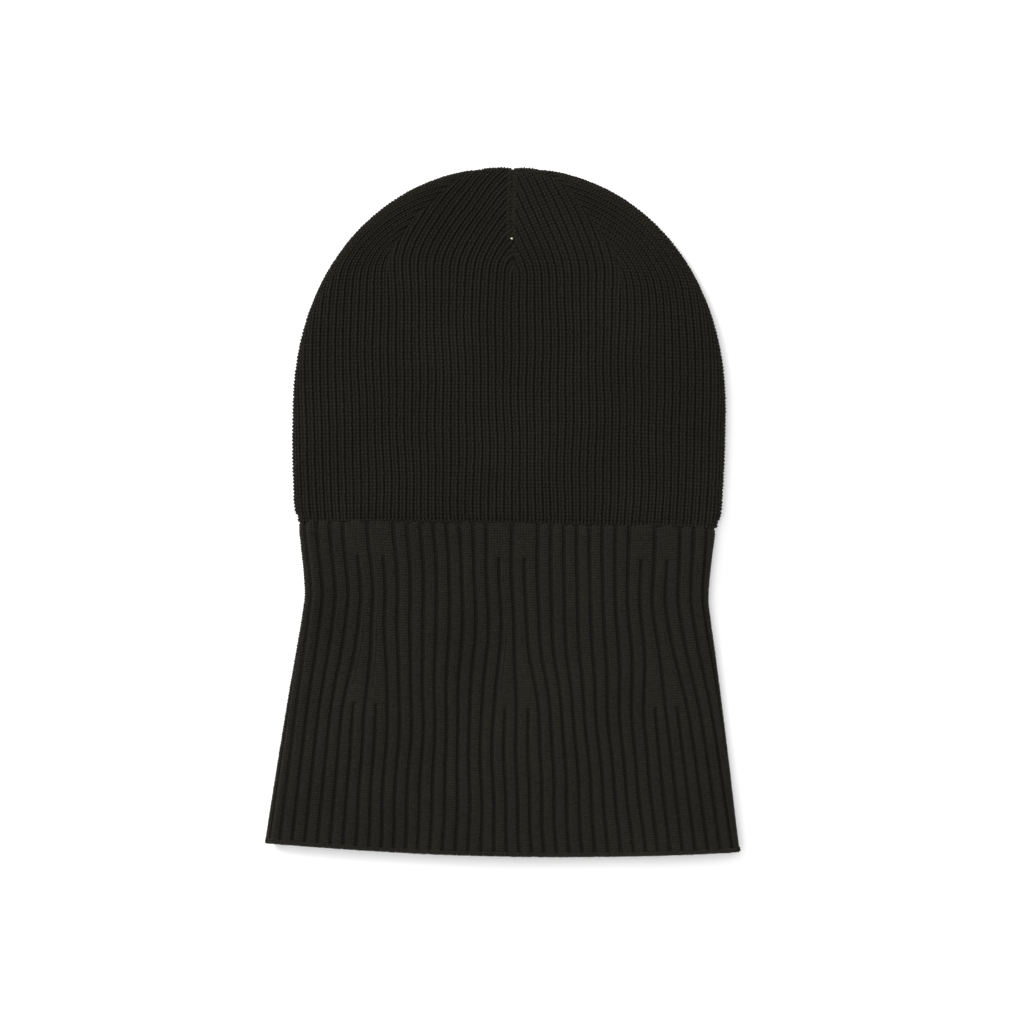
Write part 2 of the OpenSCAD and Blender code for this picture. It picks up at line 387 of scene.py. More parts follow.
@dataclass
class Mesh:
    """A mesh in millimetres: points, faces of three or four corners, and a place on the flat cut."""

    points: np.ndarray
    quads: np.ndarray
    tris: np.ndarray
    flat: np.ndarray

    def joined(self, other: "Mesh") -> "Mesh":
        """This mesh and another as one."""
        shift = len(self.points)
        return Mesh(
            np.concatenate([self.points, other.points]),
            np.concatenate([self.quads, other.quads + shift]),
            np.concatenate([self.tris, other.tris + shift]),
            np.concatenate([self.flat, other.flat]),
        )

    def welded(self) -> "Mesh":
        """This mesh with points that coincide merged, and faces that have shrunk to a line dropped.

        Returns:
            The clean mesh. A face of four corners with one merged becomes a face of three.
        """
        grid = np.round(self.points / 1e-4).astype(np.int64)
        _, first, home = np.unique(grid, axis=0, return_index=True, return_inverse=True)
        home = home.reshape(-1)
        quads = home[self.quads]
        same = quads == np.roll(quads, -1, axis=1)
        merged = same.sum(axis=1)
        crossed = (quads[:, 0] == quads[:, 2]) | (quads[:, 1] == quads[:, 3])
        narrow = quads[(merged == 1) & ~crossed]
        keep = ~same[(merged == 1) & ~crossed]
        tris = np.concatenate([home[self.tris].reshape(-1, 3), narrow[keep].reshape(-1, 3)])
        quads = quads[(merged == 0) & ~crossed]
        used, flatly = np.unique(np.concatenate([quads.ravel(), tris.ravel()]), return_inverse=True)
        number = flatly.reshape(-1)
        return Mesh(
            self.points[first][used],
            number[: quads.size].reshape(-1, 4),
            number[quads.size :].reshape(-1, 3),
            self.flat[first][used],
        )

    def piece(self, name: str, material: bpy.types.Material, slot: str) -> bpy.types.Object:
        """Turn the mesh into an object that rides on the cap's body.

        Args:
            name: the piece's name.
            material: its finish.
            slot: not used.

        Returns:
            The object, in metres, smooth shaded, with its flat cut as its texture layer.
        """
        data = bpy.data.meshes.new(name)
        data.vertices.add(len(self.points))
        data.vertices.foreach_set("co", (self.points * MM).astype(np.float32).ravel())
        corners = np.concatenate([self.quads.ravel(), self.tris.ravel()]).astype(np.int32)
        data.loops.add(len(corners))
        data.loops.foreach_set("vertex_index", corners)
        sizes = np.concatenate([np.full(len(self.quads), 4), np.full(len(self.tris), 3)])
        starts = np.concatenate([[0], np.cumsum(sizes)[:-1]]).astype(np.int32)
        data.polygons.add(len(sizes))
        data.polygons.foreach_set("loop_start", starts)
        data.polygons.foreach_set("use_smooth", np.ones(len(sizes), bool))
        layer = data.uv_layers.new(name="OFBake")
        layer.data.foreach_set("uv", self.flat[corners].astype(np.float32).ravel())
        data.update(calc_edges=True)
        data.validate()
        made = bpy.data.objects.new(name, data)
        bpy.context.scene.collection.objects.link(made)
        data.materials.append(material)
        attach(made, BODY)
        log.info("%s: %d faces", name, len(sizes))
        return made


def slab(outer: np.ndarray, inner: np.ndarray, flat: np.ndarray, gone: np.ndarray) -> Mesh:
    """A closed sheet between two grids of points.

    Args:
        outer: the outside's points, as a grid of columns and rows.
        inner: the inside's points, as the same grid.
        flat: each grid point's place on the flat cut, from 0 to 1.
        gone: which cells of the grid are cut away.

    Returns:
        The closed mesh, with coinciding points merged and a wall round every edge.
    """
    cols, rows = outer.shape[:2]
    total = cols * rows
    at = np.arange(total).reshape(cols, rows)
    face = np.stack([at[:-1, :-1], at[1:, :-1], at[1:, 1:], at[:-1, 1:]], axis=-1)[~gone]
    start, end = face.ravel(), np.roll(face, -1, axis=1).ravel()
    free = ~np.isin(start * total + end, end * total + start)
    near, far = start[free], end[free]
    wall = np.stack([far, near, near + total, far + total], axis=-1)
    return Mesh(
        np.concatenate([outer.reshape(-1, 3), inner.reshape(-1, 3)]),
        np.concatenate([face, face[:, ::-1] + total, wall]),
        np.zeros((0, 3), int),
        np.concatenate([flat.reshape(-1, 2)] * 2),
    ).welded()


@dataclass(frozen=True)
class Yarn:
    """A strand of yarn of a given thickness, drawn as short closed lengths of tube."""

    radius: float
    sides: int = 6

    def lengths(self, middle: np.ndarray, up: np.ndarray, plump: np.ndarray, flat: np.ndarray) -> Mesh:
        """Tubes along many short centre lines of the same number of points.

        Args:
            middle: centre lines, one a row, with the first and last points as the tube's tips.
            up: the way out of the fabric at each of those points.
            plump: the radius at each point between the tips, as a share of the strand's.
            flat: each centre point's place on the flat cut.

        Returns:
            All the tubes as one mesh.
        """
        count, steps = middle.shape[:2]
        rings = steps - 2
        forward = unit(np.gradient(middle, axis=1))
        across = unit(np.cross(forward, up))
        rise = np.cross(across, forward)
        turn = 2 * np.pi * np.arange(self.sides) / self.sides
        size = (self.radius * plump)[..., :, None, None]
        body = (
            middle[:, 1:-1, None]
            + size * np.cos(turn)[:, None] * across[:, 1:-1, None]
            + size * np.sin(turn)[:, None] * rise[:, 1:-1, None]
        )
        tips = middle[:, [0, -1]]
        points = np.concatenate([body.reshape(count, -1, 3), tips], axis=1)
        ring = np.arange(rings * self.sides).reshape(rings, self.sides)
        around = np.roll(ring, -1, axis=1)
        quads = np.stack([ring[:-1], ring[1:], around[1:], around[:-1]], axis=-1).reshape(-1, 4)
        start = np.stack([np.full(self.sides, rings * self.sides), ring[0], around[0]], axis=-1)
        end = np.stack([np.full(self.sides, rings * self.sides + 1), around[-1], ring[-1]], axis=-1)
        tris = np.concatenate([start, end])
        per = points.shape[1]
        shift = (np.arange(count) * per)[:, None, None]
        places = np.concatenate([np.repeat(flat[:, 1:-1], self.sides, axis=1), flat[:, [0, -1]]], axis=1)
        return Mesh(
            points.reshape(-1, 3),
            (quads[None] + shift).reshape(-1, 4),
            (tris[None] + shift).reshape(-1, 3),
            places.reshape(-1, 2),
        )


# ---------------------------------------------------------------------------------------------
# How the cap lies
# ---------------------------------------------------------------------------------------------


@dataclass(frozen=True)
class Lay:
    """The shape of the laid cap: its outline from above, its side folds and its soft waves."""

    crown_w: float
    crown_h: float
    seam_y: float
    neck_len: float
    hem_w: float
    height: float
    crown_foot_w: float = 224.0
    widest_h: float = 58.0
    arch: float = 2.14
    neck_top_w: float = 221.0
    waist_w: float = 215.0
    waist_drop: float = 42.0
    hem_bow: float = 5.0
    dome: float = 1.5
    # Half a yarn's thickness, by which the outer face stays off the floor.
    lift: float = 0.8
    # How far the yarn stands out past the driving outline, everywhere but where the cap lies on the floor.
    loft: float = 1.0
    # How far the neck's ribs have slid round the tube at the link seam and at the hem.
    twist_seam: float = 2.2
    twist_hem: float = 9.0
    # Distances from the middle between which the ribs' straying dies away, to leave the seams alone.
    stray_to: tuple[float, float] = (70.0, 98.0)

    @classmethod
    def from_frame(cls) -> "Lay":
        """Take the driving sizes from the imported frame."""
        low, high = (np.array(corner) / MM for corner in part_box("crown_back_panel"))
        hem_low, hem_high = (np.array(corner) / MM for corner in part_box("hem_start_edge"))
        return cls(
            crown_w=high[0] - low[0],
            crown_h=high[1] - low[1],
            seam_y=low[1],
            neck_len=low[1] - hem_low[1],
            hem_w=hem_high[0] - hem_low[0],
            height=high[2],
        )

    @property
    def fold_r(self) -> float:
        """Radius of the side folds, to the outside of the fabric."""
        return (self.height - self.dome) / 2

    @property
    def slack(self) -> float:
        """How much wider a half layer is than its outline, because it runs round half a fold."""
        return (math.pi / 2 - 1) * self.fold_r

    def neck_half(self, drop: np.ndarray) -> np.ndarray:
        """Half the neck's laid width at distances below the link seam."""
        drop = np.asarray(drop, float)
        above = self.waist_w / 2 + (self.neck_top_w - self.waist_w) / 4 * (
            1 + np.cos(np.pi * np.clip(drop / self.waist_drop, 0, 1))
        )
        below = (self.hem_w - self.waist_w) / 2 * (drop - self.waist_drop) / (self.neck_len - self.waist_drop)
        return np.where(drop < self.waist_drop, above, self.waist_w / 2 + below)

    def crown_edge(self) -> np.ndarray:
        """The crown's outline on the right, from its foot to the apex, above the link seam."""
        low = np.linspace(0, self.widest_h, 30)[:-1]
        sides = self.crown_w / 2 - (self.crown_w - self.crown_foot_w) / 2 * (1 - low / self.widest_h) ** 3
        turn = np.linspace(0, np.pi / 2, 160)
        arch = np.stack(
            [
                self.crown_w / 2 * np.cos(turn) ** (2 / self.arch),
                self.widest_h + (self.crown_h - self.widest_h) * np.sin(turn) ** (2 / self.arch),
            ],
            axis=1,
        )
        arch[-1, 0] = 0.0
        return np.concatenate([np.stack([sides, low], axis=1), arch])

    def edge_normals(self, line: np.ndarray) -> np.ndarray:
        """Unit vectors out of the outline at its points, from the foot to the apex."""
        step = unit(np.gradient(line, axis=0))
        out = np.stack([step[:, 1], -step[:, 0]], axis=1)
        out[-1] = (0.0, 1.0)
        return out

    def grown_edge(self, grow: np.ndarray) -> np.ndarray:
        """The crown's outline moved outwards by a distance at each of its points."""
        line = self.crown_edge()
        return line + self.edge_normals(line) * np.asarray(grow, float).reshape(-1, 1)

    def nearest_edge(self, points: np.ndarray) -> tuple[np.ndarray, np.ndarray]:
        """Find the crown's outline from points on the flat fabric.

        Args:
            points: flat places, measured across from the middle and up from the link seam.

        Returns:
            How far inside the outline each point is, and the unit vector inwards there.
        """
        line = self.crown_edge()
        out = self.edge_normals(line)
        foot = np.array([[line[0, 0], -40.0]])
        beyond = line[-2:-12:-1] * [-1, 1]
        line = np.concatenate([foot, line, beyond])
        out = np.concatenate([out[:1], out, out[-2:-12:-1] * [-1, 1]])
        side = np.where(points[:, 0] < 0, -1.0, 1.0)
        inside = np.empty(len(points))
        inward = np.empty((len(points), 2))
        start, step = line[:-1], np.diff(line, axis=0)
        size = (step**2).sum(axis=1)
        for first in range(0, len(points), 4000):
            some = slice(first, first + 4000)
            here = np.stack([np.abs(points[some, 0]), points[some, 1]], axis=1)
            gap = here[:, None] - start[None]
            share = np.clip((gap * step[None]).sum(axis=2) / size, 0, 1)
            miss = gap - share[..., None] * step[None]
            best = (miss**2).sum(axis=2).argmin(axis=1)
            row = np.arange(len(here))
            mix = share[row, best][:, None]
            normal = unit(out[best] * (1 - mix) + out[best + 1] * mix)
            inside[some] = -(miss[row, best] * normal).sum(axis=1)
            inward[some] = -normal
        inward[:, 0] *= side
        return inside, inward

    def twist(self, drop: np.ndarray) -> np.ndarray:
        """How far the fabric has slid to the right at a distance below the link seam."""
        drop = np.asarray(drop, float)
        crown = self.twist_seam * smoothstep(-0.8 * self.crown_h, 0, drop)
        neck = self.twist_seam + (self.twist_hem - self.twist_seam) * drop / self.neck_len
        return np.where(drop < 0, crown, neck)

    def wave(self, x: np.ndarray, y: np.ndarray) -> np.ndarray:
        """Height of the upper layer's soft waves at a place on the floor plan."""
        hills = (
            0.55 * np.sin(x / 31.0 + 0.6) * np.sin(y / 43.0 + 1.1)
            + 0.35 * np.sin(x / 17.0 - y / 29.0 + 2.0)
            + 0.30 * np.sin(x / 23.0 + y / 19.0)
        )
        dent = -1.5 * np.exp(-(((x - 47.0) / 20.0) ** 2) - ((y - 100.0) / 30.0) ** 2)
        sag = -1.1 * np.exp(-((x / 55.0) ** 4) - ((y - self.seam_y + 46.0) / 34.0) ** 4)
        return hills + dent + sag

    def wander(self, x: np.ndarray, y: np.ndarray) -> np.ndarray:
        """How far ribs stray sideways on the flat fabric, and the link seam up and down with the ribs."""
        inner = 1 - smoothstep(*self.stray_to, np.abs(x))
        sideways = 0.34 * np.sin(x / 11.0 + y / 16.0) + 0.26 * np.sin(x / 23.0 - y / 7.5 + 1.0)
        upward = 0.3 * np.sin(x) * np.exp(-((y / 6.0) ** 2))
        return np.stack([sideways * inner, upward * inner], axis=1)

    def settle(self, flat: np.ndarray, layer: Layer, crown: bool) -> tuple[np.ndarray, np.ndarray]:
        """Lay places on the flat fabric onto the folded cap.

        Args:
            flat: places across from the middle and up from the link seam, as a grid.
            layer: the upper or the lower layer; beyond its fold a layer runs on under the other.
            crown: whether the places are on the crown, and not on the neck.

        Returns:
            The outside surface's points, and its unit normals.
        """
        shape = flat.shape[:-1]
        points = flat.reshape(-1, 2).astype(float)
        points = points + self.wander(points[:, 0], points[:, 1])
        if crown:
            inside, inward = self.nearest_edge(points)
        else:
            side = np.where(points[:, 0] < 0, -1.0, 1.0)
            inside = self.neck_half(-points[:, 1]) - np.abs(points[:, 0])
            inward = np.stack([-side, np.zeros(len(points))], axis=1)
        reach = inside + self.slack
        turn = np.minimum(np.abs(reach) / self.fold_r, np.pi / 2)
        run = self.fold_r * (1 - np.cos(turn)) + np.maximum(np.abs(reach) - self.fold_r * np.pi / 2, 0)
        face = np.where(reach < 0, -1.0, 1.0) * layer.value
        place = points + inward * (run - inside)[:, None]
        place[:, 1] += self.seam_y
        z = self.fold_r * (1 + face * np.sin(turn))
        open_share = np.clip((run - self.fold_r) / 90.0, 0, 1)
        soft = smoothstep(0, 26, run) * (face > 0)
        z = z + (face > 0) * self.dome * (1 - (1 - open_share) ** 2)
        z = z + soft * self.wave(place[:, 0], place[:, 1])
        z = z + self.lift * (1 - z / self.height)
        normal = unit(np.column_stack([-inward * np.cos(turn)[:, None], face * np.sin(turn)]))
        rise = self.loft * np.clip(1 + normal[:, 2:], 0, 1)
        points3 = np.concatenate([place, z[:, None]], axis=1) + normal * rise
        return points3.reshape(*shape, 3), normal.reshape(*shape, 3)


# ---------------------------------------------------------------------------------------------
# Knitted fabric
# ---------------------------------------------------------------------------------------------


@dataclass(frozen=True)
class Stitches:
    """How a stitch of one fabric looks: its strand and the path of one leg of its V.

    A leg's path is given across in wales, along in courses and out in millimetres.
    """

    yarn: Yarn
    foot: float = 0.07
    head: float = 0.36
    start: float = -0.28
    end: float = 0.94
    swell: float = 0.22
    sink: float = 0.45
    shares: tuple[float, ...] = (0.0, 0.14, 0.5, 0.86, 1.0)

    def leg(self) -> Arrays:
        """The path and thickness of the right leg.

        Returns:
            Across, along and out at each step, and the plumpness between the tips.
        """
        share = np.array(self.shares)
        across = self.foot + (self.head - self.foot) * share**0.85
        run = self.start + (self.end - self.start) * share
        bow = np.sin(np.pi * share)
        out = self.swell * bow - self.sink * (1 - bow)
        plump = 0.62 + 0.38 * np.sin(np.pi * share[1:-1])
        return across, run, out, plump


@dataclass
class Knit:
    """A piece of knitted fabric as a grid: columns run across its wales and rows along its courses.

    Each wale has its left and right column, and for each course whether it is purl on the
    outside. Cells that are gone are cut away.
    """

    points: np.ndarray
    normals: np.ndarray
    flat: np.ndarray
    wales: np.ndarray
    purl: np.ndarray
    relief: np.ndarray
    gone: np.ndarray
    course_mm: float
    seed: int = 1

    def __post_init__(self) -> None:
        """Raise the ribs, and turn the normals to the raised surface."""
        self.smooth = self.points.copy()
        self.out = self.normals.copy()
        self.points = self.points + self.normals * self.relief[..., None]
        crossed = np.cross(np.gradient(self.points, axis=0), np.gradient(self.points, axis=1))
        size = np.linalg.norm(crossed, axis=-1, keepdims=True)
        turned = crossed / np.maximum(size, 1e-9)
        turned *= np.sign((turned * self.normals).sum(axis=-1, keepdims=True) + 1e-9)
        mixed = np.where(size > 0.02, 0.6 * turned + 0.4 * self.normals, self.normals)
        self.normals = unit(mixed)

    def at(self, grid: np.ndarray, u: np.ndarray, v: np.ndarray) -> np.ndarray:
        """Read a grid between its columns and rows.

        Args:
            grid: values at the fabric's columns and rows.
            u: places across, in columns.
            v: places along, in rows; just past the ends the grid is carried straight on.

        Returns:
            The values there.
        """
        i = np.clip(np.floor(u), 0, grid.shape[0] - 2).astype(int)
        j = np.clip(np.floor(v), 0, grid.shape[1] - 2).astype(int)
        fu, fv = (u - i)[..., None], (v - j)[..., None]
        low = grid[i, j] * (1 - fu) + grid[i + 1, j] * fu
        high = grid[i, j + 1] * (1 - fu) + grid[i + 1, j + 1] * fu
        return low * (1 - fv) + high * fv

    def cut_share(self, u: np.ndarray, v: np.ndarray) -> np.ndarray:
        """Places on the flat cut as shares of its columns and rows."""
        cols, rows = self.points.shape[:2]
        return np.stack([np.clip(u / (cols - 1), 0, 1), np.clip(v / (rows - 1), 0, 1)], axis=-1)

    def ground(self, thickness: float, step: int = 2, under: float = 0.35) -> Mesh:
        """The fabric's body behind its stitches.

        Args:
            thickness: from the outside to the inside of the fabric.
            step: how many courses one row of faces spans.
            under: how far the body lies under the stitches' middle.

        Returns:
            The closed mesh.
        """
        cols, rows = self.points.shape[:2]
        kept = np.unique(np.concatenate([np.arange(0, rows, step), [rows - 1]]))
        base, way, level = self.points[:, kept], self.out[:, kept], self.relief[:, kept, None]
        inner = self.smooth[:, kept] - way * (thickness + 0.25 * level)
        u, v = np.meshgrid(np.arange(cols), kept, indexing="ij")
        return slab(base - way * under, inner, self.cut_share(u, v), self.gone[:, kept[:-1]])

    def courses(self) -> Arrays:
        """Every wale cut into courses of the fabric's own length.

        Returns:
            For each stitch: left and right columns, its wale, its start in rows and its length in
            rows.
        """
        rows = np.arange(self.points.shape[1])
        found = []
        for wale, (a, b) in enumerate(self.wales):
            middle = self.at(self.flat, np.full(len(rows), (a + b) / 2), rows.astype(float))
            run = np.concatenate([[0.0], np.cumsum(np.linalg.norm(np.diff(middle, axis=0), axis=1) + 1e-6)])
            cut = np.interp(np.arange(0.0, run[-1] + 0.05 * self.course_mm, self.course_mm), run, rows)
            whose = [np.full(len(cut) - 1, float(x)) for x in (a, b, wale)]
            found.append(np.stack([*whose, cut[:-1], np.diff(cut)]))
        a, b, wale, v, long = np.concatenate(found, axis=1)
        return a, b, wale.astype(int), v, long

    def cells(self, kind: Wale, nominal: float) -> Arrays:
        """Every stitch of one kind that is wide enough to be a stitch and isn't cut away.

        Args:
            kind: knit or purl.
            nominal: the full width of such a wale.

        Returns:
            Left and right columns, start and length in rows, and the width as a share of the full
            width.
        """
        a, b, wale, v, long = self.courses()
        middle_v = v + long / 2
        across = self.at(self.flat, b, middle_v) - self.at(self.flat, a, middle_v)
        way = self.at(self.flat, (a + b) / 2, v + long) - self.at(self.flat, (a + b) / 2, v)
        way = unit(way)
        share = np.abs(across[..., 0] * way[..., 1] - across[..., 1] * way[..., 0]) / nominal
        row = np.minimum(middle_v.astype(int), self.gone.shape[1] - 1)
        column = np.minimum(((a + b) / 2).astype(int), self.gone.shape[0] - 1)
        right_kind = self.purl[wale, row] == (kind is Wale.PURL)
        keep = right_kind & (share > 0.36) & ~self.gone[column, row]
        return a[keep], b[keep], v[keep], long[keep], np.minimum(share[keep], 1.25)

    def loops(self, look: Stitches, nominal: float, most: int = 10**9) -> list[Mesh]:
        """The V-shaped outside of every knit stitch.

        Args:
            look: the shape of one stitch.
            nominal: the full width of a knit wale.
            most: the most stitches in one mesh.

        Returns:
            The stitches, in bands of whole wales.
        """
        a, b, v, long, share = self.cells(Wale.KNIT, nominal)
        rng = np.random.default_rng(self.seed)
        slip = rng.normal(0, 1, (4, len(a))) * np.array([0.025, 0.05, 0.05, 0.05])[:, None]
        across, run, out, plump = look.leg()
        squeeze = np.minimum(share, 1.0)[:, None] ** 0.4
        legs = []
        for side in (-1.0, 1.0):
            u = a[:, None] + (b - a)[:, None] * (0.5 + side * across[None] + slip[0][:, None])
            w = v[:, None] + long[:, None] * (run[None] + slip[1][:, None])
            middle, up = self.at(self.points, u, w), unit(self.at(self.normals, u, w))
            middle = middle + up * ((out[None] * squeeze + slip[2][:, None])[..., None])
            size = plump[None] * ((1 + slip[3])[:, None] * squeeze)
            legs.append((middle, up, size, self.cut_share(u, w)))
        order = np.argsort(a, kind="stable")
        made = []
        for band in np.array_split(order, math.ceil(len(a) / most)):
            left, right = (look.yarn.lengths(*(part[band] for part in leg)) for leg in legs)
            made.append(left.joined(right))
        return made

    def bars(self, yarn: Yarn, nominal: float) -> Mesh:
        """The crosswise bar of every purl stitch, at the bottom of its groove.

        Args:
            yarn: the strand.
            nominal: the full width of a purl wale.

        Returns:
            The bars as one mesh.
        """
        a, b, v, long, _ = self.cells(Wale.PURL, nominal)
        slip = np.random.default_rng(self.seed + 7).normal(0, 0.06, len(a))
        across = np.array([-0.55, -0.32, 0.0, 0.32, 0.55])
        bow = np.cos(across * np.pi / 1.15)
        u = a[:, None] + (b - a)[:, None] * (0.5 + across[None])
        w = v[:, None] + long[:, None] * (0.35 + 0.32 * bow[None] + slip[:, None])
        up = unit(self.at(self.normals, u, w))
        middle = self.at(self.points, u, w) + up * (-0.45 + 0.25 * bow)[None, :, None]
        plump = np.array([0.75, 1.0, 0.75])[None] * np.ones((len(a), 1))
        return yarn.lengths(middle, up, plump, self.cut_share(u, w))


def chain(points: np.ndarray, normals: np.ndarray, look: Stitches, seed: int = 5) -> Mesh:
    """A chain of single stitches along a line.

    Args:
        points: the chain's left edge, middle and right edge, each with a point for every stitch.
        normals: the way out at each of those points.
        look: the shape of one stitch.
        seed: the seed of its small irregularities.

    Returns:
        The chain's stitches.
    """
    steps = points.shape[1]
    row = Knit(
        points,
        normals,
        points[..., :2],
        np.array([[0, 2]]),
        np.zeros((1, steps - 1), bool),
        np.zeros((3, steps)),
        np.zeros((2, steps - 1), bool),
        1.0,
        seed,
    )
    width = float(np.linalg.norm(points[2] - points[0], axis=-1).mean())
    row.flat = np.stack(np.meshgrid(np.linspace(0, width, 3), np.arange(steps), indexing="ij"), axis=-1)
    return row.loops(look, width)[0]


@dataclass(frozen=True)
class SeamRun:
    """A seam on the laid cap: a row of joining stitches outside and a ridge of yarn inside."""

    lay: "Lay"
    layer: Layer
    crown: bool
    pitch: float = 1.9
    width: float = 1.7
    fabric: float = 3.6

    def row(
        self, line: np.ndarray, width: float, depth: float, inside: bool, look: Stitches, seed: int
    ) -> Mesh:
        """One chain along a line on the flat fabric.

        Args:
            line: the line's points on the flat fabric.
            width: the chain's width.
            depth: how far under the outside surface it runs.
            inside: whether its stitches face the inside of the cap.
            look: the shape of one stitch.
            seed: the seed of its small irregularities.

        Returns:
            The chain's stitches.
        """
        long = np.linalg.norm(np.diff(line, axis=0), axis=1).sum()
        middle = along(line, np.linspace(0, 1, max(3, int(round(long / self.pitch)) + 1)))
        step = unit(np.gradient(middle, axis=0))
        side = np.stack([step[:, 1], -step[:, 0]], axis=1)
        flat = np.stack([middle + side * (k * width / 2) for k in (-1, 0, 1)])
        points, normals = self.lay.settle(flat, self.layer, self.crown)
        points = points - normals * depth
        if inside:
            points, normals = points[::-1], -normals[::-1]
        return chain(points, normals, look, seed)

    def sewn(self, line: np.ndarray, seed: int, sink: float) -> Mesh:
        """The outside row, sunk in, and the inside ridge of a seam along a line on the flat fabric."""
        outside = Stitches(Yarn(0.42, 5), foot=0.05, head=0.3, start=-0.1, end=1.0)
        ridge = Stitches(Yarn(0.62, 6), foot=0.02, head=0.34, start=-0.3, end=1.1, swell=0.5, sink=0.1)
        face = self.row(line, self.width, sink, False, outside, seed)
        return face.joined(self.row(line, 2.2, self.fabric + 0.35, True, ridge, seed + 50))


# ---------------------------------------------------------------------------------------------
# The crown
# ---------------------------------------------------------------------------------------------


@dataclass(frozen=True)
class Wedges:
    """How one half of a crown layer narrows: an inner and an outer wedge that meet on a line.

    The line starts at a place above the link seam and bends over to the apex. The dart's share is
    how much of the inner wedge's narrowing happens at the middle, and not at the line.
    """

    inner_ribs: int
    outer_ribs: int
    start: tuple[float, float]
    bend: tuple[float, float]
    dart_share: float


@dataclass
class Crown:
    """One layer of the crown in a half-cardigan rib, shaped to the apex by four narrowing wedges.

    The ribs stay parallel and end on the wedges' sides, so the fabric narrows without changing
    its stitch.
    """

    lay: Lay
    layer: Layer
    left: Wedges
    right: Wedges
    start_middle: float
    rib_mm: float = 4.05
    course_mm: float = 1.87
    wrap_mm: float = 10.1
    shoulder_wrap_mm: float = 8.0
    thickness: float = 3.6
    groove: float = 1.75
    end_share: float = 0.985
    # How much slower the middle's courses rise than the sides' at the start, and how fast they catch up.
    lag_start: float = 0.45
    lag_power: float = 2.4
    dip: float = 0.5
    offsets: tuple[float, ...] = (0.0, 0.1, 0.25, 0.5, 0.75, 0.9)

    @classmethod
    def back(cls, lay: Lay) -> "Crown":
        """The upper layer; its ribs lean a little more to the right than to the left."""
        left = Wedges(16, 16, start=(66.0, 141.0), bend=(50.0, 174.0), dart_share=0.68)
        right = Wedges(14, 18, start=(58.0, 136.0), bend=(40.0, 174.0), dart_share=0.56)
        return cls(lay, Layer.BACK, left, right, start_middle=132.0)

    @classmethod
    def front(cls, lay: Lay) -> "Crown":
        """The lower layer, which is smaller because the upper one wraps round the folds."""
        both = Wedges(14, 13, start=(57.0, 122.0), bend=(44.0, 160.0), dart_share=0.6)
        return cls(lay, Layer.FRONT, both, both, start_middle=118.0)

    def side_line(self) -> np.ndarray:
        """The side seam's line on the flat fabric, from the foot to the apex."""
        line = self.lay.crown_edge()
        run = np.concatenate([[0], np.cumsum(np.linalg.norm(np.diff(line, axis=0), axis=1))])
        share = np.clip((run - 40.0) / (run[-1] - 40.0), 0, 1)
        wrap = self.wrap_mm + self.shoulder_wrap_mm * np.sin(np.pi * share) ** 2
        return self.lay.grown_edge(self.lay.slack + self.layer.value * wrap)

    def half_grid(self, wedges: Wedges) -> tuple[np.ndarray, np.ndarray]:
        """One half's grid on the flat fabric, drawn as the right half.

        Args:
            wedges: how the half narrows.

        Returns:
            The grid's points, and each column's place in ribs from the middle.
        """
        side = self.side_line()
        apex_y = side[-1, 1]
        first = int(np.argmax(side[:, 1] >= self.start_middle))
        low_rows = int(round(self.start_middle / self.course_mm))
        top_rows = int(round((apex_y - self.start_middle) / self.course_mm))
        low = np.linspace(0, 1, low_rows + 1)[:-1]
        top = np.linspace(0, self.end_share, top_rows + 1)
        foot_x = wedges.start[0] * self.lay.crown_foot_w / self.lay.crown_w
        lag = self.lag_start * top + (1 - self.lag_start) * top**self.lag_power
        above = self.start_middle + (apex_y - self.start_middle) * lag
        height = np.concatenate([self.start_middle * low, above])
        middle = np.stack([np.zeros_like(height), height], axis=1)
        straight = np.stack([foot_x + (wedges.start[0] - foot_x) * low, wedges.start[1] * low], axis=1)
        line = np.concatenate([straight, bezier(wedges.start, wedges.bend, (0.0, apex_y), top)])
        line = eased(line.T, 3.0).T
        edge = np.concatenate([along(side[: first + 1], low), along(side[first:], top)])
        settled = smoothstep(low_rows + 4, low_rows + 26, np.arange(len(height)))
        columns, ribs = [], []
        parts = ((middle, line, wedges.inner_ribs, wedges.dart_share), (line, edge, wedges.outer_ribs, 1.0))
        for number, (near, far, count, near_share) in enumerate(parts):
            wide = np.linalg.norm(far - near, axis=1)
            wide = wide / wide[low_rows]
            left = count * np.minimum(np.where(np.arange(len(wide)) < low_rows, 1.0, wide), 1.0)
            places = (np.arange(count)[:, None] + np.array(self.offsets)[None]).ravel()
            if number == 1:
                places = np.append(places, count)
            lost = near_share * (count - left)
            share = np.clip((places[:, None] - lost[None]) / left[None], -2.0, 3.0)
            for place, path in zip(places, share):
                # Ribs beside the dart turn sharply, and those further out in a longer curve.
                bend = np.clip(0.9 * (place + 0.5), 1.2, 9.0) if number == 0 else 4.0
                path[:] = path * settled + eased(path, float(bend)) * (1 - settled)
            share = np.clip(share, 0, 1)
            # The rows dip only close to the dart, so the outer ribs bend over more gently.
            rise = share ** (self.dip if number == 0 else 1.0)
            mixed = [near[:, k] * (1 - t) + far[:, k] * t for k, t in ((0, share), (1, rise))]
            columns.append(np.stack(mixed, axis=-1))
            ribs.append(places + number * wedges.inner_ribs)
        return np.concatenate(columns), np.concatenate(ribs)

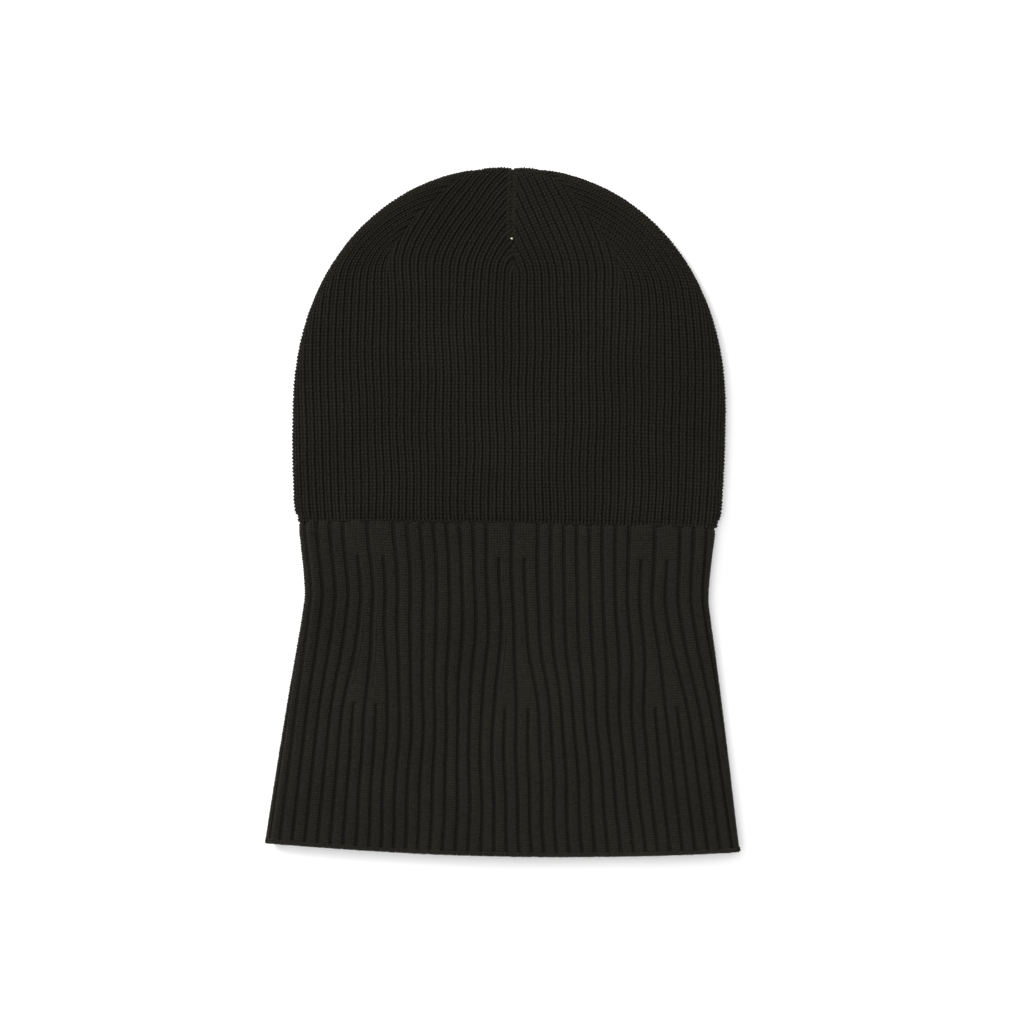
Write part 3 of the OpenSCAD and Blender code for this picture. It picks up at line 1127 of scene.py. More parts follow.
    def knit(self) -> Knit:
        """The whole layer as knitted fabric, laid on the folded cap."""
        right, ribs = self.half_grid(self.right)
        left, left_ribs = self.half_grid(self.left)
        flat = np.concatenate([left[:0:-1] * [-1, 1], right])
        place = np.concatenate([-left_ribs[:0:-1], ribs])
        slid = flat.copy()
        slid[..., 0] += self.layer.value * self.lay.twist(-flat[..., 1])
        points, normals = self.lay.settle(slid, self.layer, crown=True)
        phase = np.abs(place - np.round(place))
        valley = np.interp(phase, [0, 0.1, 0.25, 0.5], [-1.0, -0.6, -0.05, -0.2])[:, None] * self.groove
        pitch = np.linalg.norm(np.gradient(flat, axis=0), axis=-1) / np.gradient(place)[:, None]
        full = smoothstep(0.2, 0.8, pitch / self.rib_mm)
        relief = valley * full - 0.6 * self.groove * (1 - full)
        relief = relief - self.foot_crease(flat) - self.line_crease(flat) - 0.6
        total = self.left.inner_ribs + self.left.outer_ribs
        first = 6 * np.arange(total + self.right.inner_ribs + self.right.outer_ribs)
        wales = np.stack([first + 1, first + 5], axis=1)
        rows = flat.shape[1] - 1
        purl = np.zeros((len(wales), rows), bool)
        gone = np.zeros((flat.shape[0] - 1, rows), bool)
        seed = 12 - self.layer.value
        return Knit(points, normals, flat, wales, purl, relief, gone, self.course_mm, seed)

    def foot_crease(self, flat: np.ndarray) -> np.ndarray:
        """How far the fabric dips to the link seam, and swells just above it."""
        height = flat[..., 1]
        return 1.2 * np.exp(-((height / 2.0) ** 2)) - 0.5 * np.exp(-(((height - 8.0) / 6.0) ** 2))

    def line_crease(self, flat: np.ndarray) -> np.ndarray:
        """How far the fabric dips along the dart and the two narrowing lines."""
        x, y = flat[..., 0], flat[..., 1]
        begun = smoothstep(self.start_middle + 12, self.start_middle + 20, y)
        crease = 0.7 * np.exp(-((x / 2.2) ** 2)) * begun
        apex_y = self.side_line()[-1, 1]
        for way, wedges in ((-1.0, self.left), (1.0, self.right)):
            line = bezier(wedges.start, wedges.bend, (0.0, apex_y), np.linspace(0, 1, 60))
            gap = way * x - np.interp(y, line[:, 1], line[:, 0])
            near = smoothstep(wedges.start[1] - 2, wedges.start[1] + 6, y)
            crease = crease + 0.5 * np.exp(-((gap / 1.5) ** 2)) * near
        return crease

    def dart(self, finishes: Finishes) -> None:
        """Close the middle dart: two straight edge wales that meet, and a ridge inside."""
        name = self.layer.name.lower()
        low, apex_y = self.start_middle + 19.0, self.side_line()[-1, 1] - 4.0
        line = np.stack([np.zeros(24), np.linspace(low, apex_y, 24)], axis=1)
        run = SeamRun(self.lay, self.layer, crown=True, pitch=self.course_mm)
        edge_wale = Stitches(Yarn(0.6, 6), foot=0.1, head=0.3, start=-0.2, end=0.95, sink=0.4)
        mesh = run.sewn(line, seed=31, sink=2.0)
        for way in (-1.0, 1.0):
            mesh = mesh.joined(run.row(line + [way * 1.7, 0], 2.2, 1.45, False, edge_wale, 33 + int(way)))
        made = mesh.piece(f"{name}_crown_dart_seam_yarn", finishes.crown, "crown_yarn")
        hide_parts(f"{name}_crown_dart_seam")

    def tack(self, turn: float) -> Mesh:
        """A few wraps of yarn that hold the end of the dart.

        Args:
            turn: how far the wraps are turned from straight across, in radians.

        Returns:
            The wraps' mesh.
        """
        share = np.linspace(-1, 1, 5)
        wraps = []
        for k in (-1, 0, 1):
            angle = turn + 0.25 * k
            way = np.array([math.cos(angle), math.sin(angle)])
            flat = np.array([0.0, self.start_middle + 19.1 + 0.22 * k]) + share[:, None] * way * 0.75
            points, normals = self.lay.settle(flat[None], self.layer, crown=True)
            wraps.append((points[0] + normals[0] * (0.35 * (1 - share**2) - 0.55)[:, None], normals[0]))
        middle, up = (np.stack(part) for part in zip(*wraps))
        plump = np.ones((3, 3))
        return Yarn(0.24, 6).lengths(middle, up, plump, np.zeros((3, 5, 2)))

    def build(self, finishes: Finishes) -> None:
        """Make the layer's fabric, its stitches and its dart.

        Args:
            finishes: the cap's materials.
        """
        name = f"crown_{self.layer.name.lower()}"
        knit = self.knit()
        sides = 6 if self.layer is Layer.BACK else 4
        look = Stitches(Yarn(0.64, sides), foot=0.21, head=0.28, start=-0.06, end=0.92, swell=0.2, sink=0.7)
        stitches = [
            loops.piece(f"{name}_stitches_{number}", finishes.crown, "crown_yarn")
            for number, loops in enumerate(knit.loops(look, 0.8 * self.rib_mm, 2500), start=1)
        ]
        # The body behind the stitches gets the painted-shade yarn, darker than the stitches.
        ground = knit.ground(self.thickness).piece(f"{name}_fabric", finishes.crown_core_painted_shade, "crown_yarn")
        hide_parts(f"{name}_panel")
        self.dart(finishes)


# ---------------------------------------------------------------------------------------------
# The neck
# ---------------------------------------------------------------------------------------------


@dataclass(frozen=True)
class FaceOpening:
    """The opening for the face in the lower layer: a rounded rectangle, cut out and then bound."""

    half_w: float = 78.0
    half_h: float = 44.0
    corner_r: float = 32.0
    middle_y: float = -49.6

    def inside(self, x: np.ndarray, y: np.ndarray, grow: float = 0.0) -> np.ndarray:
        """Whether places on the floor plan are inside the cut-out."""
        dx = np.abs(x) - (self.half_w - self.corner_r)
        dy = np.abs(y - self.middle_y) - (self.half_h - self.corner_r)
        out = np.hypot(np.maximum(dx, 0), np.maximum(dy, 0)) + np.minimum(np.maximum(dx, dy), 0)
        return out < self.corner_r + grow

    def ring(self, count: int, slit: float) -> tuple[np.ndarray, np.ndarray]:
        """Places round the opening, from one side of the slit at the bottom to the other.

        Args:
            count: how many places.
            slit: half the slit's width.

        Returns:
            Points on the line that the rounded corners turn about, and the unit vectors outwards.
        """
        core_x, core_y = self.half_w - self.corner_r, self.half_h - self.corner_r
        middle_r = self.corner_r - 7.0
        turn = np.linspace(0, np.pi / 2, 20)
        rows = [[slit, -core_y, 0.0, -1.0]]
        # Each rounded corner's middle, and where its quarter turn starts, in half turns.
        right = ((core_x, -core_y, -0.5), (core_x, core_y, 0.0))
        corners = (*right, (-core_x, core_y, 0.5), (-core_x, -core_y, 1.0))
        for x, y, quarter in corners:
            angle = turn + quarter * np.pi
            rows += [[x, y, math.cos(a), math.sin(a)] for a in angle]
        rows.append([-slit, -core_y, 0.0, -1.0])
        line = np.array(rows)
        keyed = np.concatenate([line[:, :2] + middle_r * line[:, 2:], line], axis=1)
        found = along(keyed, np.linspace(0, 1, count), place=2)
        return found[:, 2:4] + [0, self.middle_y], unit(found[:, 4:6])


@dataclass
class Neck:
    """One layer of the neck in a three by one rib, widened in two steps towards the hem.

    At six places round the tube two ribs start double and split below the link seam, and further
    down the two ribs beside each place gain four wales each and split again.
    """

    lay: Lay
    layer: Layer
    opening: FaceOpening
    course_mm: float = 1.41
    wale_mm: float = 1.66
    ribs_round: int = 66
    back_ribs: int = 36
    place_ribs: int = 11
    split_drop: float = 18.0
    widen_drop: float = 65.0
    widen_step: float = 8.0
    second_split_drop: float = 98.0
    thickness: float = 3.2
    groove: float = 1.8
    knit_width: float = 0.885
    purl_width: float = 1.345
    edge_h: float = 0.3

    def half_wales(self) -> list[tuple[int, int]]:
        """The right half's wales from the middle outwards.

        Returns:
            Each wale's number where all ribs are narrow, and which added wale it is, or 0.
        """
        start = 0 if self.layer is Layer.BACK else self.ribs_round // 2
        ribs = self.back_ribs // 2 if self.layer is Layer.BACK else (self.ribs_round - self.back_ribs) // 2
        wales = []
        for rib in range(ribs):
            widens = (rib + start) % self.place_ribs in (0, self.place_ribs - 1)
            for k in range(1, 5):
                wales.append((4 * rib + k, 0))
                if widens and k == 2:
                    wales += [(4 * rib + k, extra) for extra in (1, 2, 3, 4)]
        return wales

    def shares(self, drop: np.ndarray) -> tuple[np.ndarray, np.ndarray]:
        """How wide and how purled each wale is along the neck.

        Args:
            drop: distances below the link seam.

        Returns:
            For the right half's wales from the middle: the width as a share of a full wale, and
            how far the wale has turned to purl, each by wale and distance.
        """
        start = 0 if self.layer is Layer.BACK else self.ribs_round // 2
        width, purl = [], []
        for number, extra in self.half_wales():
            full = np.ones_like(drop)
            if extra:
                begin = self.widen_drop + (extra - 1) * self.widen_step
                full = smoothstep(begin, begin + self.widen_step, drop)
            turned = np.zeros_like(drop)
            if not extra and number % 4 == 0:
                turned = np.ones_like(drop)
                if (number // 4 + start) % self.place_ribs in (1, self.place_ribs - 1):
                    turned = smoothstep(self.split_drop - 1, self.split_drop + 2, drop)
            if extra == 2:
                turned = smoothstep(self.second_split_drop - 1, self.second_split_drop + 2, drop)
            width.append(full * (self.knit_width + (self.purl_width - self.knit_width) * turned))
            purl.append(turned)
        return np.array(width), np.array(purl)

    def half_tube(self, drop: np.ndarray) -> np.ndarray:
        """Half the tube's width in wales along the neck, so that both layers' edges meet at the seams."""
        return sum(replace(self, layer=layer).shares(drop)[0].sum(axis=0) for layer in Layer)

    def hem_line(self, share: np.ndarray) -> np.ndarray:
        """Height of the hem's bottom above the link seam, at a share of the half width."""
        return -self.lay.neck_len + self.lay.hem_bow * share**2

    def knit(self) -> Knit:
        """The whole layer as knitted fabric, laid on the folded cap."""
        rows = int(round((self.lay.neck_len - self.edge_h) / self.course_mm))
        course = (self.lay.neck_len - self.edge_h) / rows * 0.9995
        level = np.linspace(0, 1, rows + 1)[::-1]
        drop = level * self.lay.neck_len
        width, purl = self.shares(drop)
        centre = np.ones((1, len(drop)))
        edges = np.cumsum(np.concatenate([0 * centre, 0.5 * self.purl_width * centre, width]), axis=0)
        edges[-1] -= 0.5 * self.purl_width
        half_round = self.lay.neck_half(drop) + self.lay.slack
        edges = eased(edges / self.half_tube(drop), 8.0) * 2 * half_round
        nodes = np.empty((2 * len(edges) - 2, len(drop)))
        nodes[0::2] = edges[:-1]
        nodes[1::2] = (edges[:-1] + edges[1:]) / 2
        nodes = np.concatenate([nodes[:1], nodes[2:], edges[-1:]])
        heights = self.rib_profile(purl)
        x = np.concatenate([-nodes[:0:-1], nodes])
        relief = np.concatenate([heights[:0:-1], heights])
        share = np.clip(np.abs(x) / half_round[None], 0, 1)
        y = (self.hem_line(share) + self.edge_h) * level[None]
        flat = np.stack([x, y], axis=-1)
        slid = flat.copy()
        slid[..., 0] += self.layer.value * self.lay.twist(-flat[..., 1])
        points, normals = self.lay.settle(slid, self.layer, crown=False)
        crease = 1.2 * np.exp(-((y / 1.7) ** 2)) - 0.3 * np.exp(-(((y + 6.0) / 4.0) ** 2))
        middle = (len(x) - 1) // 2
        first = middle + 1 + 2 * np.arange(len(width))
        last = np.minimum(first + 2, len(x) - 1)
        right = np.stack([first, last], axis=1)
        left = len(x) - 1 - right[:, ::-1]
        wales = np.concatenate([[[middle - 1, middle + 1]], right, left])
        turned = (purl[:, 1:] + purl[:, :-1]) > 1.0
        kinds = np.concatenate([np.ones((1, rows), bool), turned, turned])
        gone = np.zeros((len(x) - 1, rows), bool)
        if self.layer is Layer.FRONT:
            mid = (points[1:, 1:] + points[:-1, :-1]) / 2
            gone = self.opening.inside(mid[..., 0], mid[..., 1], grow=0.3)
        return Knit(points, normals, flat, wales, kinds, relief - crease - 0.45, gone, course, seed=21)

    def rib_profile(self, purl: np.ndarray) -> np.ndarray:
        """Height of the fabric across its ribs.

        Args:
            purl: how far each wale has turned to purl, from the middle outwards.

        Returns:
            Heights at the middle, then at each wale's inner edge and middle, then at the end.
        """
        whole = np.concatenate([np.ones((1, purl.shape[1])), purl])
        near = np.concatenate([whole[1:2], whole[:-1]])
        far = np.concatenate([whole[1:], 0 * whole[:1]])
        level = -self.groove * whole - 0.5 * (1 - whole) * np.maximum(near, far)
        nodes = [level[:1]]
        for k in range(1, len(level)):
            nodes += [(level[k - 1 : k] + level[k : k + 1]) / 2, level[k : k + 1]]
        nodes[-1] = level[-1:]
        return np.concatenate([*nodes[:-1], level[-1:], level[-1:]])

    def build(self, finishes: Finishes) -> None:
        """Make the layer's fabric and its stitches.

        Args:
            finishes: the cap's materials.
        """
        name = f"neck_{self.layer.name.lower()}"
        knit = self.knit()
        sides = 5 if self.layer is Layer.BACK else 4
        look = Stitches(Yarn(0.44, sides), foot=0.1, head=0.36)
        nominal = self.wale_mm * self.knit_width
        stitches = [
            loops.piece(f"{name}_stitches_{number}", finishes.neck, "neck_yarn")
            for number, loops in enumerate(knit.loops(look, nominal, 3200), start=1)
        ]
        bars = knit.bars(Yarn(0.45, sides), self.wale_mm * self.purl_width)
        # The purl bars at the bottom of the grooves and the body behind the stitches get the painted-shade
        # yarn.
        stitches.append(bars.piece(f"{name}_purl_bars", finishes.neck_core_painted_shade, "neck_yarn"))
        ground = knit.ground(self.thickness).piece(f"{name}_fabric", finishes.neck_core_painted_shade, "neck_yarn")
        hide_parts(f"{name}_panel")


# ---------------------------------------------------------------------------------------------
# Seams and edges
# ---------------------------------------------------------------------------------------------


@dataclass
class Seams:
    """The seams that join the four panels: two link seams across and four side seams."""

    lay: Lay
    reach: float = 10.0

    def link(self, layer: Layer, finishes: Finishes) -> None:
        """Link the crown to the neck across one layer.

        Args:
            layer: the layer.
            finishes: the cap's materials.
        """
        name = layer.name.lower()
        half = self.lay.neck_top_w / 2 + self.lay.slack + layer.value * self.reach
        line = np.stack([np.linspace(-half, half, 60), np.full(60, -0.1)], axis=1)
        run = SeamRun(self.lay, layer, crown=False, pitch=2.0, width=2.2)
        mesh = run.sewn(line, seed=41, sink=2.0)
        made = mesh.piece(f"{name}_link_seam_yarn", finishes.linking, "linking_yarn")
        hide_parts(f"{name}_link_seam")

    def crown_side(self, side: int, finishes: Finishes) -> None:
        """Sew the crown's two layers together along one side.

        Args:
            side: -1 for the left and 1 for the right.
            finishes: the cap's materials.
        """
        name = "left" if side < 0 else "right"
        line = Crown.back(self.lay).side_line()[:-3] * [side, 1]
        run = SeamRun(self.lay, Layer.BACK, crown=True, pitch=1.9)
        mesh = run.sewn(line, seed=43 + side, sink=1.3)
        made = mesh.piece(f"{name}_crown_seam_yarn", finishes.linking, "linking_yarn")
        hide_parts(f"{name}_crown_seam")

    def neck_side(self, side: int, finishes: Finishes) -> None:
        """Sew the neck's two layers together along one side.

        Args:
            side: -1 for the left and 1 for the right.
            finishes: the cap's materials.
        """
        name = "left" if side < 0 else "right"
        drop = np.linspace(1.5, self.lay.neck_len - self.lay.hem_bow - 2.0, 60)
        x = side * (self.lay.neck_half(drop) + self.lay.slack + self.reach)
        run = SeamRun(self.lay, Layer.BACK, crown=False, pitch=1.6)
        mesh = run.sewn(np.stack([x, -drop], axis=1), seed=46 + side, sink=1.2)
        made = mesh.piece(f"{name}_neck_seam_yarn", finishes.linking, "linking_yarn")
        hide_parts(f"{name}_neck_seam")

    def build(self, finishes: Finishes) -> None:
        """Sew every seam."""
        for layer in Layer:
            self.link(layer, finishes)
        for side in (-1, 1):
            self.crown_side(side, finishes)
            self.neck_side(side, finishes)


@dataclass
class HemEdge:
    """The started edge of the neck: one row of close loops round the hem, scalloped by the ribs."""

    neck_back: Neck
    neck_front: Neck
    height: float = 2.6
    scallop: float = 0.35

    def row(self, neck: Neck, reach: float) -> Mesh:
        """The loops along one layer's hem.

        Args:
            neck: the layer.
            reach: how far the layer runs past the middle of its fold, or short of it.

        Returns:
            The loops' mesh.
        """
        lay = neck.lay
        half_round = float(lay.neck_half(lay.neck_len)) + lay.slack
        half = half_round + reach
        loops = int(round(2 * half / neck.wale_mm))
        x = np.linspace(-half, half, loops + 1)
        share = np.clip(np.abs(x) / half_round, 0, 1)
        rib = 2 * np.pi * x * 39.0 / (2 * half_round) - np.pi
        y = neck.hem_line(share) + self.height / 2 + self.scallop * np.cos(rib) * 0.5
        flat = np.stack([np.stack([x, y + k * self.height / 2], axis=1) for k in (1, 0, -1)])
        flat[..., 0] += neck.layer.value * lay.twist(np.array(lay.neck_len))
        points, normals = lay.settle(flat, neck.layer, crown=False)
        look = Stitches(Yarn(0.6, 6), foot=0.12, head=0.3, start=-0.15, end=1.05, swell=0.3, sink=0.3)
        outside = chain(points - normals * 0.9, normals, look, seed=61)
        inside = chain((points - normals * 2.2)[::-1], -normals[::-1], look, seed=62)
        return outside.joined(inside)

    def build(self, finishes: Finishes) -> None:
        """Make the edge round both layers."""
        mesh = self.row(self.neck_back, 9.9).joined(self.row(self.neck_front, -9.9))
        made = mesh.piece("hem_start_edge_loops", finishes.neck, "neck_yarn")
        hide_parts("hem_start_edge")


# ---------------------------------------------------------------------------------------------
# The face band
# ---------------------------------------------------------------------------------------------


@dataclass
class FaceBand:
    """The band round the face opening in a one by one rib, linked to the cut edge and joined below."""

    opening: FaceOpening
    width: float = 14.0
    thickness: float = 3.4
    ribs: int = 118
    course_mm: float = 1.55
    groove: float = 1.5
    slit: float = 0.25
    gap: float = 0.2

    def grid(self, columns: int, inner: float, outer: float, rows: int, z: float) -> Arrays:
        """A grid round the opening that faces down.

        Args:
            columns: how many columns round the opening.
            inner: distance of the last row inside the cut edge.
            outer: distance of the first row inside the cut edge.
            rows: how many rows.
            z: the grid's height.

        Returns:
            The grid's points and its normals.
        """
        base, out = self.opening.ring(columns, self.slit)
        far = self.opening.corner_r - np.linspace(outer, inner, rows)
        plan = base[:, None] + out[:, None] * far[None, :, None]
        points = np.concatenate([plan, np.full((*plan.shape[:2], 1), z)], axis=-1)
        return points, np.broadcast_to([0.0, 0.0, -1.0], points.shape).copy()

    def knit(self) -> Knit:
        """The band as knitted fabric: its wales run in to the opening."""
        courses = int(round(self.width / self.course_mm))
        columns = 4 * self.ribs + 1
        points, normals = self.grid(columns, self.width, self.gap, courses + 1, 0.55)
        phase = (np.arange(columns) % 4) / 4
        valley = np.interp(phase, [0, 0.25, 0.5, 0.75], [-1.0, -0.35, 0.0, -0.35]) * self.groove
        rim = np.linspace(0, 1, courses + 1)
        relief = valley[:, None] - 0.5 * rim[None] ** 6 - 0.4 * (1 - rim[None]) ** 6
        wales = np.stack([4 * np.arange(self.ribs) + 1, 4 * np.arange(self.ribs) + 3], axis=1)
        cut = self.opening
        straight = 4 * (cut.half_w + cut.half_h - 2 * cut.corner_r)
        round_mm = float(round(straight + 2 * math.pi * (cut.corner_r - self.width / 2)))
        across, long = np.meshgrid(np.linspace(0, round_mm, columns), rim * self.width, indexing="ij")
        return Knit(
            points,
            normals,
            np.stack([across, long], axis=-1),
            wales,
            np.zeros((self.ribs, courses), bool),
            relief,
            np.zeros((columns - 1, courses), bool),
            self.width / courses,
            seed=71,
        )

    def rim(self, finishes: Finishes) -> list[bpy.types.Object]:
        """The band's bound-off edge round the opening, as a row of close stitches."""
        base, out = self.opening.ring(230, self.slit)
        far = self.opening.corner_r - self.width
        rolls = ((0.4, 0.9), (-0.3, 1.9), (0.4, 2.9))
        rows = [np.column_stack([base + out * (far + shift), np.full(len(base), z)]) for shift, z in rolls]
        points = np.stack(rows)
        normals = np.column_stack([-out, np.zeros(len(base))])[None].repeat(3, axis=0)
        look = Stitches(Yarn(0.5, 5), foot=0.1, head=0.34, start=-0.1, end=1.05, swell=0.2, sink=0.3)
        mesh = chain(points, normals, look, seed=73)
        return [mesh.piece("face_band_bound_edge", finishes.neck, "band_yarn")]

    def chain_round(self, finishes: Finishes) -> None:
        """The linking chain that holds the band to the cut edge, on the inside of the cap."""
        points, normals = self.grid(200, 1.4, -1.4, 3, 4.35)
        look = Stitches(Yarn(0.5, 5), foot=0.05, head=0.32, start=-0.15, end=1.05, swell=0.25, sink=0.2)
        mesh = chain(points.transpose(1, 0, 2)[::-1], -normals.transpose(1, 0, 2)[::-1], look, seed=75)
        made = mesh.piece("face_band_link_chain_yarn", finishes.linking, "linking_yarn")
        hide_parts("face_band_link_chain")

    def end_join(self, finishes: Finishes) -> None:
        """The short seam across the band's two ends, at the bottom of the opening."""
        outer = self.opening.middle_y - self.opening.half_h + 0.6
        y = np.linspace(outer, outer + self.width - 1.2, 9)
        look = Stitches(Yarn(0.42, 6), foot=0.05, head=0.34, start=-0.1, end=1.0, swell=0.2, sink=0.2)
        sides = []
        for z, way in ((0.75, -1.0), (3.2, 1.0)):
            rows = [np.column_stack([np.full(9, -way * k * 0.9), y, np.full(9, z)]) for k in (-1, 0, 1)]
            sides.append(chain(np.stack(rows), np.broadcast_to([0, 0, way], (3, 9, 3)).copy(), look, seed=77))
        made = sides[0].joined(sides[1]).piece("face_band_end_join_yarn", finishes.linking, "linking_yarn")
        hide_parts("face_band_end_join")

    def build(self, finishes: Finishes) -> None:
        """Make the band, its edge, its chain and its join.

        Args:
            finishes: the cap's materials.
        """
        knit = self.knit()
        look = Stitches(Yarn(0.6, 5), foot=0.1, head=0.34, sink=0.4)
        loops = knit.loops(look, 1.6)[0].piece("face_band_stitches", finishes.neck, "band_yarn")
        body = knit.ground(self.thickness, step=1)
        # The band's body behind its stitches gets the painted-shade yarn.
        ground = body.piece("face_band_fabric", finishes.neck_core_painted_shade, "band_yarn")
        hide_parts("face_rib_band")
        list(self.rim(finishes))
        self.chain_round(finishes)
        self.end_join(finishes)


# ---------------------------------------------------------------------------------------------
# Small pieces inside
# ---------------------------------------------------------------------------------------------


@dataclass
class CareLabel:
    """The blank woven label: one tape folded double and sewn down along its open ends."""

    ply: float = 0.28
    bend_r: float = 0.5
    waves: float = 0.12

    def path(self, low: np.ndarray, high: np.ndarray) -> np.ndarray:
        """The middle line of the folded tape, as across and up."""
        turn = np.linspace(-np.pi / 2, np.pi / 2, 9)
        right = high[0] - self.bend_r
        bottom = low[2] + self.ply / 2
        radius = self.bend_r - self.ply / 2
        under = np.stack([np.linspace(low[0], right, 12), np.full(12, bottom)], axis=1)
        bend = np.stack([right + radius * np.cos(turn), bottom + radius + radius * np.sin(turn)], axis=1)
        over = np.stack([np.linspace(right, low[0] + 0.6, 12), np.full(12, bottom + 2 * radius)], axis=1)
        return np.concatenate([under[:-1], bend, over[1:]])

    def build(self, finishes: Finishes) -> None:
        """Make the label and its stitches.

        Args:
            finishes: the cap's materials.
        """
        low, high = (np.array(corner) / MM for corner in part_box("care_label"))
        path = self.path(low, high)
        step = unit(np.gradient(path, axis=0))
        out = np.stack([step[:, 1], -step[:, 0]], axis=1)
        y = np.linspace(low[1], high[1], 16)
        grid = np.zeros((len(path), len(y), 3))
        grid[..., 0], grid[..., 2] = path[:, :1], path[:, 1:]
        grid[..., 1] = y[None]
        lift = self.waves * np.sin(y / 4.0)[None] * smoothstep(low[0], high[0], path[:, 0])[:, None]
        grid[..., 2] += lift + self.waves
        way = np.zeros_like(grid)
        way[..., 0], way[..., 2] = out[:, :1], out[:, 1:]
        half = way * self.ply / 2
        u, v = np.meshgrid(np.linspace(0, 1, len(path)), np.linspace(0, 1, len(y)), indexing="ij")
        flat = np.stack([u, v], axis=-1)
        gone = np.zeros((len(path) - 1, len(y) - 1), bool)
        mesh = slab(grid + half, grid - half, flat, gone)
        label = mesh.piece("care_label_tape", finishes.tape, "label_tape")
        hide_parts("care_label")
        self.stitch_down(finishes)

    def stitch_down(self, finishes: Finishes) -> None:
        """The row of short stitches along the label's open ends."""
        low, high = (np.array(corner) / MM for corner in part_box("label_stitches"))
        count = 6
        share = np.array([0.0, 0.15, 0.5, 0.85, 1.0])
        pitch = (high[1] - low[1]) / count
        y = low[1] + (np.arange(count)[:, None] + 0.1 + 0.8 * share[None]) * pitch
        bow = 0.3 * np.sin(np.pi * share)[None] + 0 * y
        middle = np.stack([np.full_like(y, (low[0] + high[0]) / 2), y, low[2] + bow], axis=-1)
        up = np.broadcast_to([0.0, 0.0, 1.0], middle.shape)
        mesh = Yarn(0.28, 6).lengths(middle, up, np.ones((count, 3)), np.zeros((count, 5, 2)))
        made = mesh.piece("label_stitches_thread", finishes.linking, "linking_yarn")
        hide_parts("label_stitches")


@dataclass
class YarnEnds:
    """The four yarn ends darned in beside the seams' corners: a wavy tail through the fabric."""

    tail: float = 24.0
    radius: float = 0.5

    def build(self, finishes: Finishes) -> None:
        """Make the four tails.

        Args:
            finishes: the cap's materials.
        """
        low, high = (np.array(corner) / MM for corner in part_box("woven_in_yarn_ends"))
        share = np.linspace(0, 1, 26)
        crown_x = high[0] - 11.2
        tails = []
        for side in (-1, 1):
            for x, y in ((crown_x * side, high[1] - self.tail), (side * (high[0] - self.radius), low[1])):
                wave = 0.5 * np.sin(share * 20.0 + side)
                z = low[2] + self.radius + 0.35 * np.cos(share * 20.0) + (0.4 if y > 0 else 0.3)
                place = np.stack([x - side * (0.6 + wave), y + share * self.tail, z], axis=1)
                tails.append(place)
        middle = np.stack(tails)
        up = np.broadcast_to([0.0, 0.0, 1.0], middle.shape)
        plump = np.ones((len(tails), middle.shape[1] - 2))
        flat = np.zeros((*middle.shape[:2], 2))
        mesh = Yarn(self.radius, 6).lengths(middle, up, plump, flat)
        made = mesh.piece("woven_in_yarn_tails", finishes.linking, "linking_yarn")
        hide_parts("woven_in_yarn_ends")


# ---------------------------------------------------------------------------------------------
# The studio
# ---------------------------------------------------------------------------------------------


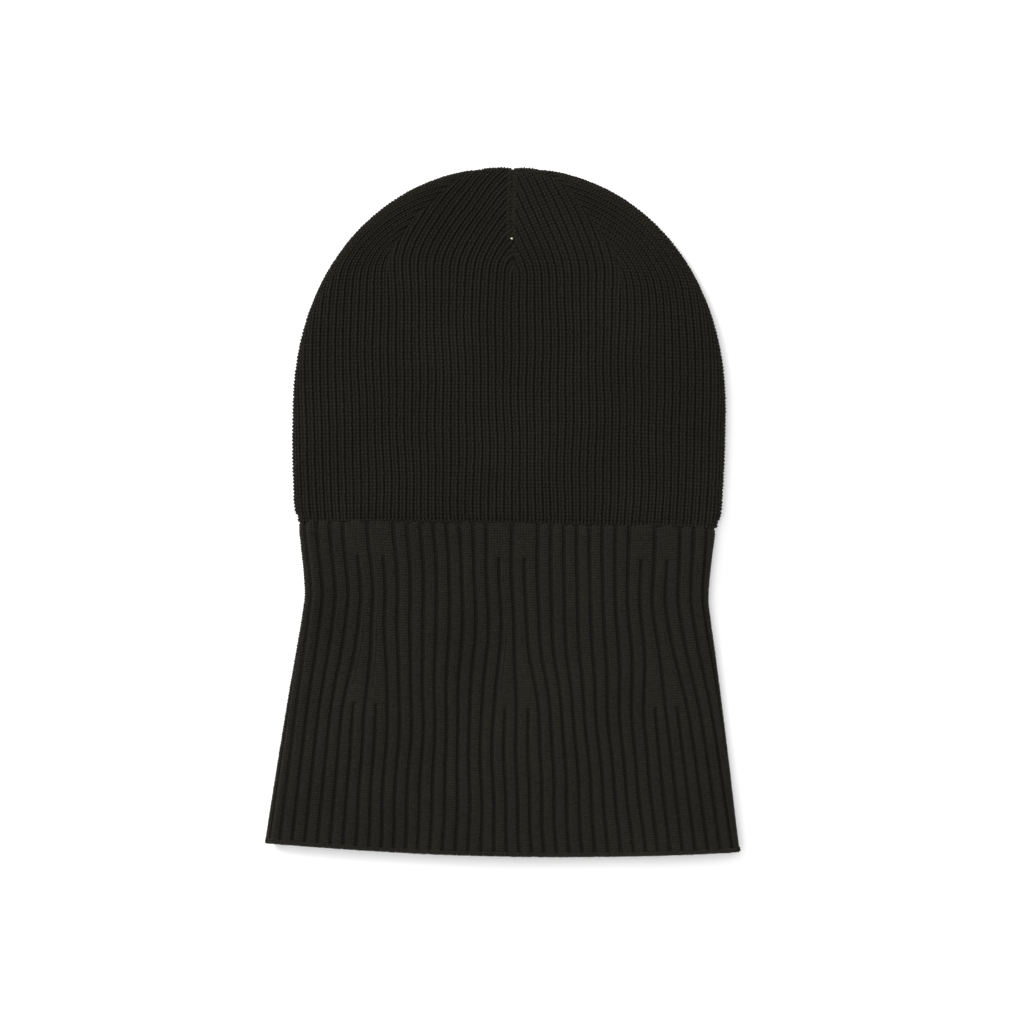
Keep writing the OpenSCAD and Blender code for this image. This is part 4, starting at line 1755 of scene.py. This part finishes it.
@dataclass(frozen=True)
class Studio:
    """White paper floor, soft light from the upper left, and a camera straight above the cap."""

    view_width: float = 0.545
    camera_height: float = 2.2
    roll_deg: float = 0.865
    shift_x: float = 0.0023
    floor_half: float = 2.5
    key_power: float = 140.0
    overhead_power: float = 104.0
    surround: float = 0.3

    def floor(self, finishes: Finishes) -> None:
        """Lay the paper.

        Args:
            finishes: the cap's materials.
        """
        half = self.floor_half
        data = bpy.data.meshes.new("paper_floor")
        corners = [(-half, -half, 0), (half, -half, 0), (half, half, 0), (-half, half, 0)]
        data.from_pydata(corners, [], [(0, 1, 2, 3)])
        paper = bpy.data.objects.new("paper_floor", data)
        data.materials.append(finishes.paper)
        bpy.context.scene.collection.objects.link(paper)
        paper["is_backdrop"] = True

    def softbox(self, name: str, place: tuple, size: float, power: float) -> None:
        """Hang one square softbox that faces the cap.

        Args:
            name: the light's name.
            place: where it hangs, in metres.
            size: the length of its sides.
            power: its power in watts.
        """
        data = bpy.data.lights.new(name, "AREA")
        data.shape = "SQUARE"
        data.size = size
        data.energy = power
        lamp = bpy.data.objects.new(name, data)
        lamp.location = place
        away = -np.array(place, float)
        lamp.rotation_euler = (
            math.acos(-away[2] / np.linalg.norm(away)),
            0.0,
            math.atan2(-away[0], away[1]),
        )
        bpy.context.scene.collection.objects.link(lamp)

    def lights(self) -> None:
        """Set the key light, the overhead light and the even surround."""
        self.softbox("key_softbox", (-2.2, 1.9, 2.6), 1.5, self.key_power)
        self.softbox("overhead_softbox", (0.0, 0.0, 3.2), 2.6, self.overhead_power)
        world = bpy.data.worlds.new("studio_surround")
        world.use_nodes = True
        background = world.node_tree.nodes["Background"]
        background.inputs["Color"].default_value = (1, 1, 1, 1)
        background.inputs["Strength"].default_value = self.surround
        bpy.context.scene.world = world

    def camera(self) -> None:
        """Hang the camera over the middle of the laid cap."""
        data = bpy.data.cameras.new("camera")
        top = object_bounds()[1][2]
        data.sensor_width = 36.0
        data.lens = data.sensor_width * (self.camera_height - top) / self.view_width
        data.clip_end = 20.0
        made = bpy.data.objects.new("camera", data)
        roll = math.radians(self.roll_deg)
        made.location = (self.shift_x * math.cos(roll), self.shift_x * math.sin(roll), self.camera_height)
        made.rotation_euler = (0.0, 0.0, roll)
        bpy.context.scene.collection.objects.link(made)
        bpy.context.scene.camera = made
        bpy.context.scene.view_settings.view_transform = "Standard"

    def build(self, finishes: Finishes) -> None:
        """Set up the floor, the lights and the camera."""
        self.camera()
        self.floor(finishes)
        self.lights()


def main() -> None:
    """Build the cap piece by piece."""
    logging.basicConfig(level=logging.INFO, format="%(name)s: %(message)s")
    finishes = Finishes()
    lay = Lay.from_frame()
    opening = FaceOpening()
    Studio().build(finishes)
    back, front = Crown.back(lay), Crown.front(lay)
    back.build(finishes)
    front.build(finishes)
    # The tack wraps get the pale painted-highlight yarn.
    tacks = back.tack(0.0).joined(front.tack(0.4)).piece("dart_end_tack_wraps", finishes.tack, "linking_yarn")
    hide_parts("dart_end_tacks")
    neck_back, neck_front = (Neck(lay, layer, opening) for layer in Layer)
    neck_back.build(finishes)
    neck_front.build(finishes)
    Seams(lay).build(finishes)
    HemEdge(neck_back, neck_front).build(finishes)
    FaceBand(opening).build(finishes)
    CareLabel().build(finishes)
    YarnEnds().build(finishes)


if __name__ == "__main__":
    main()
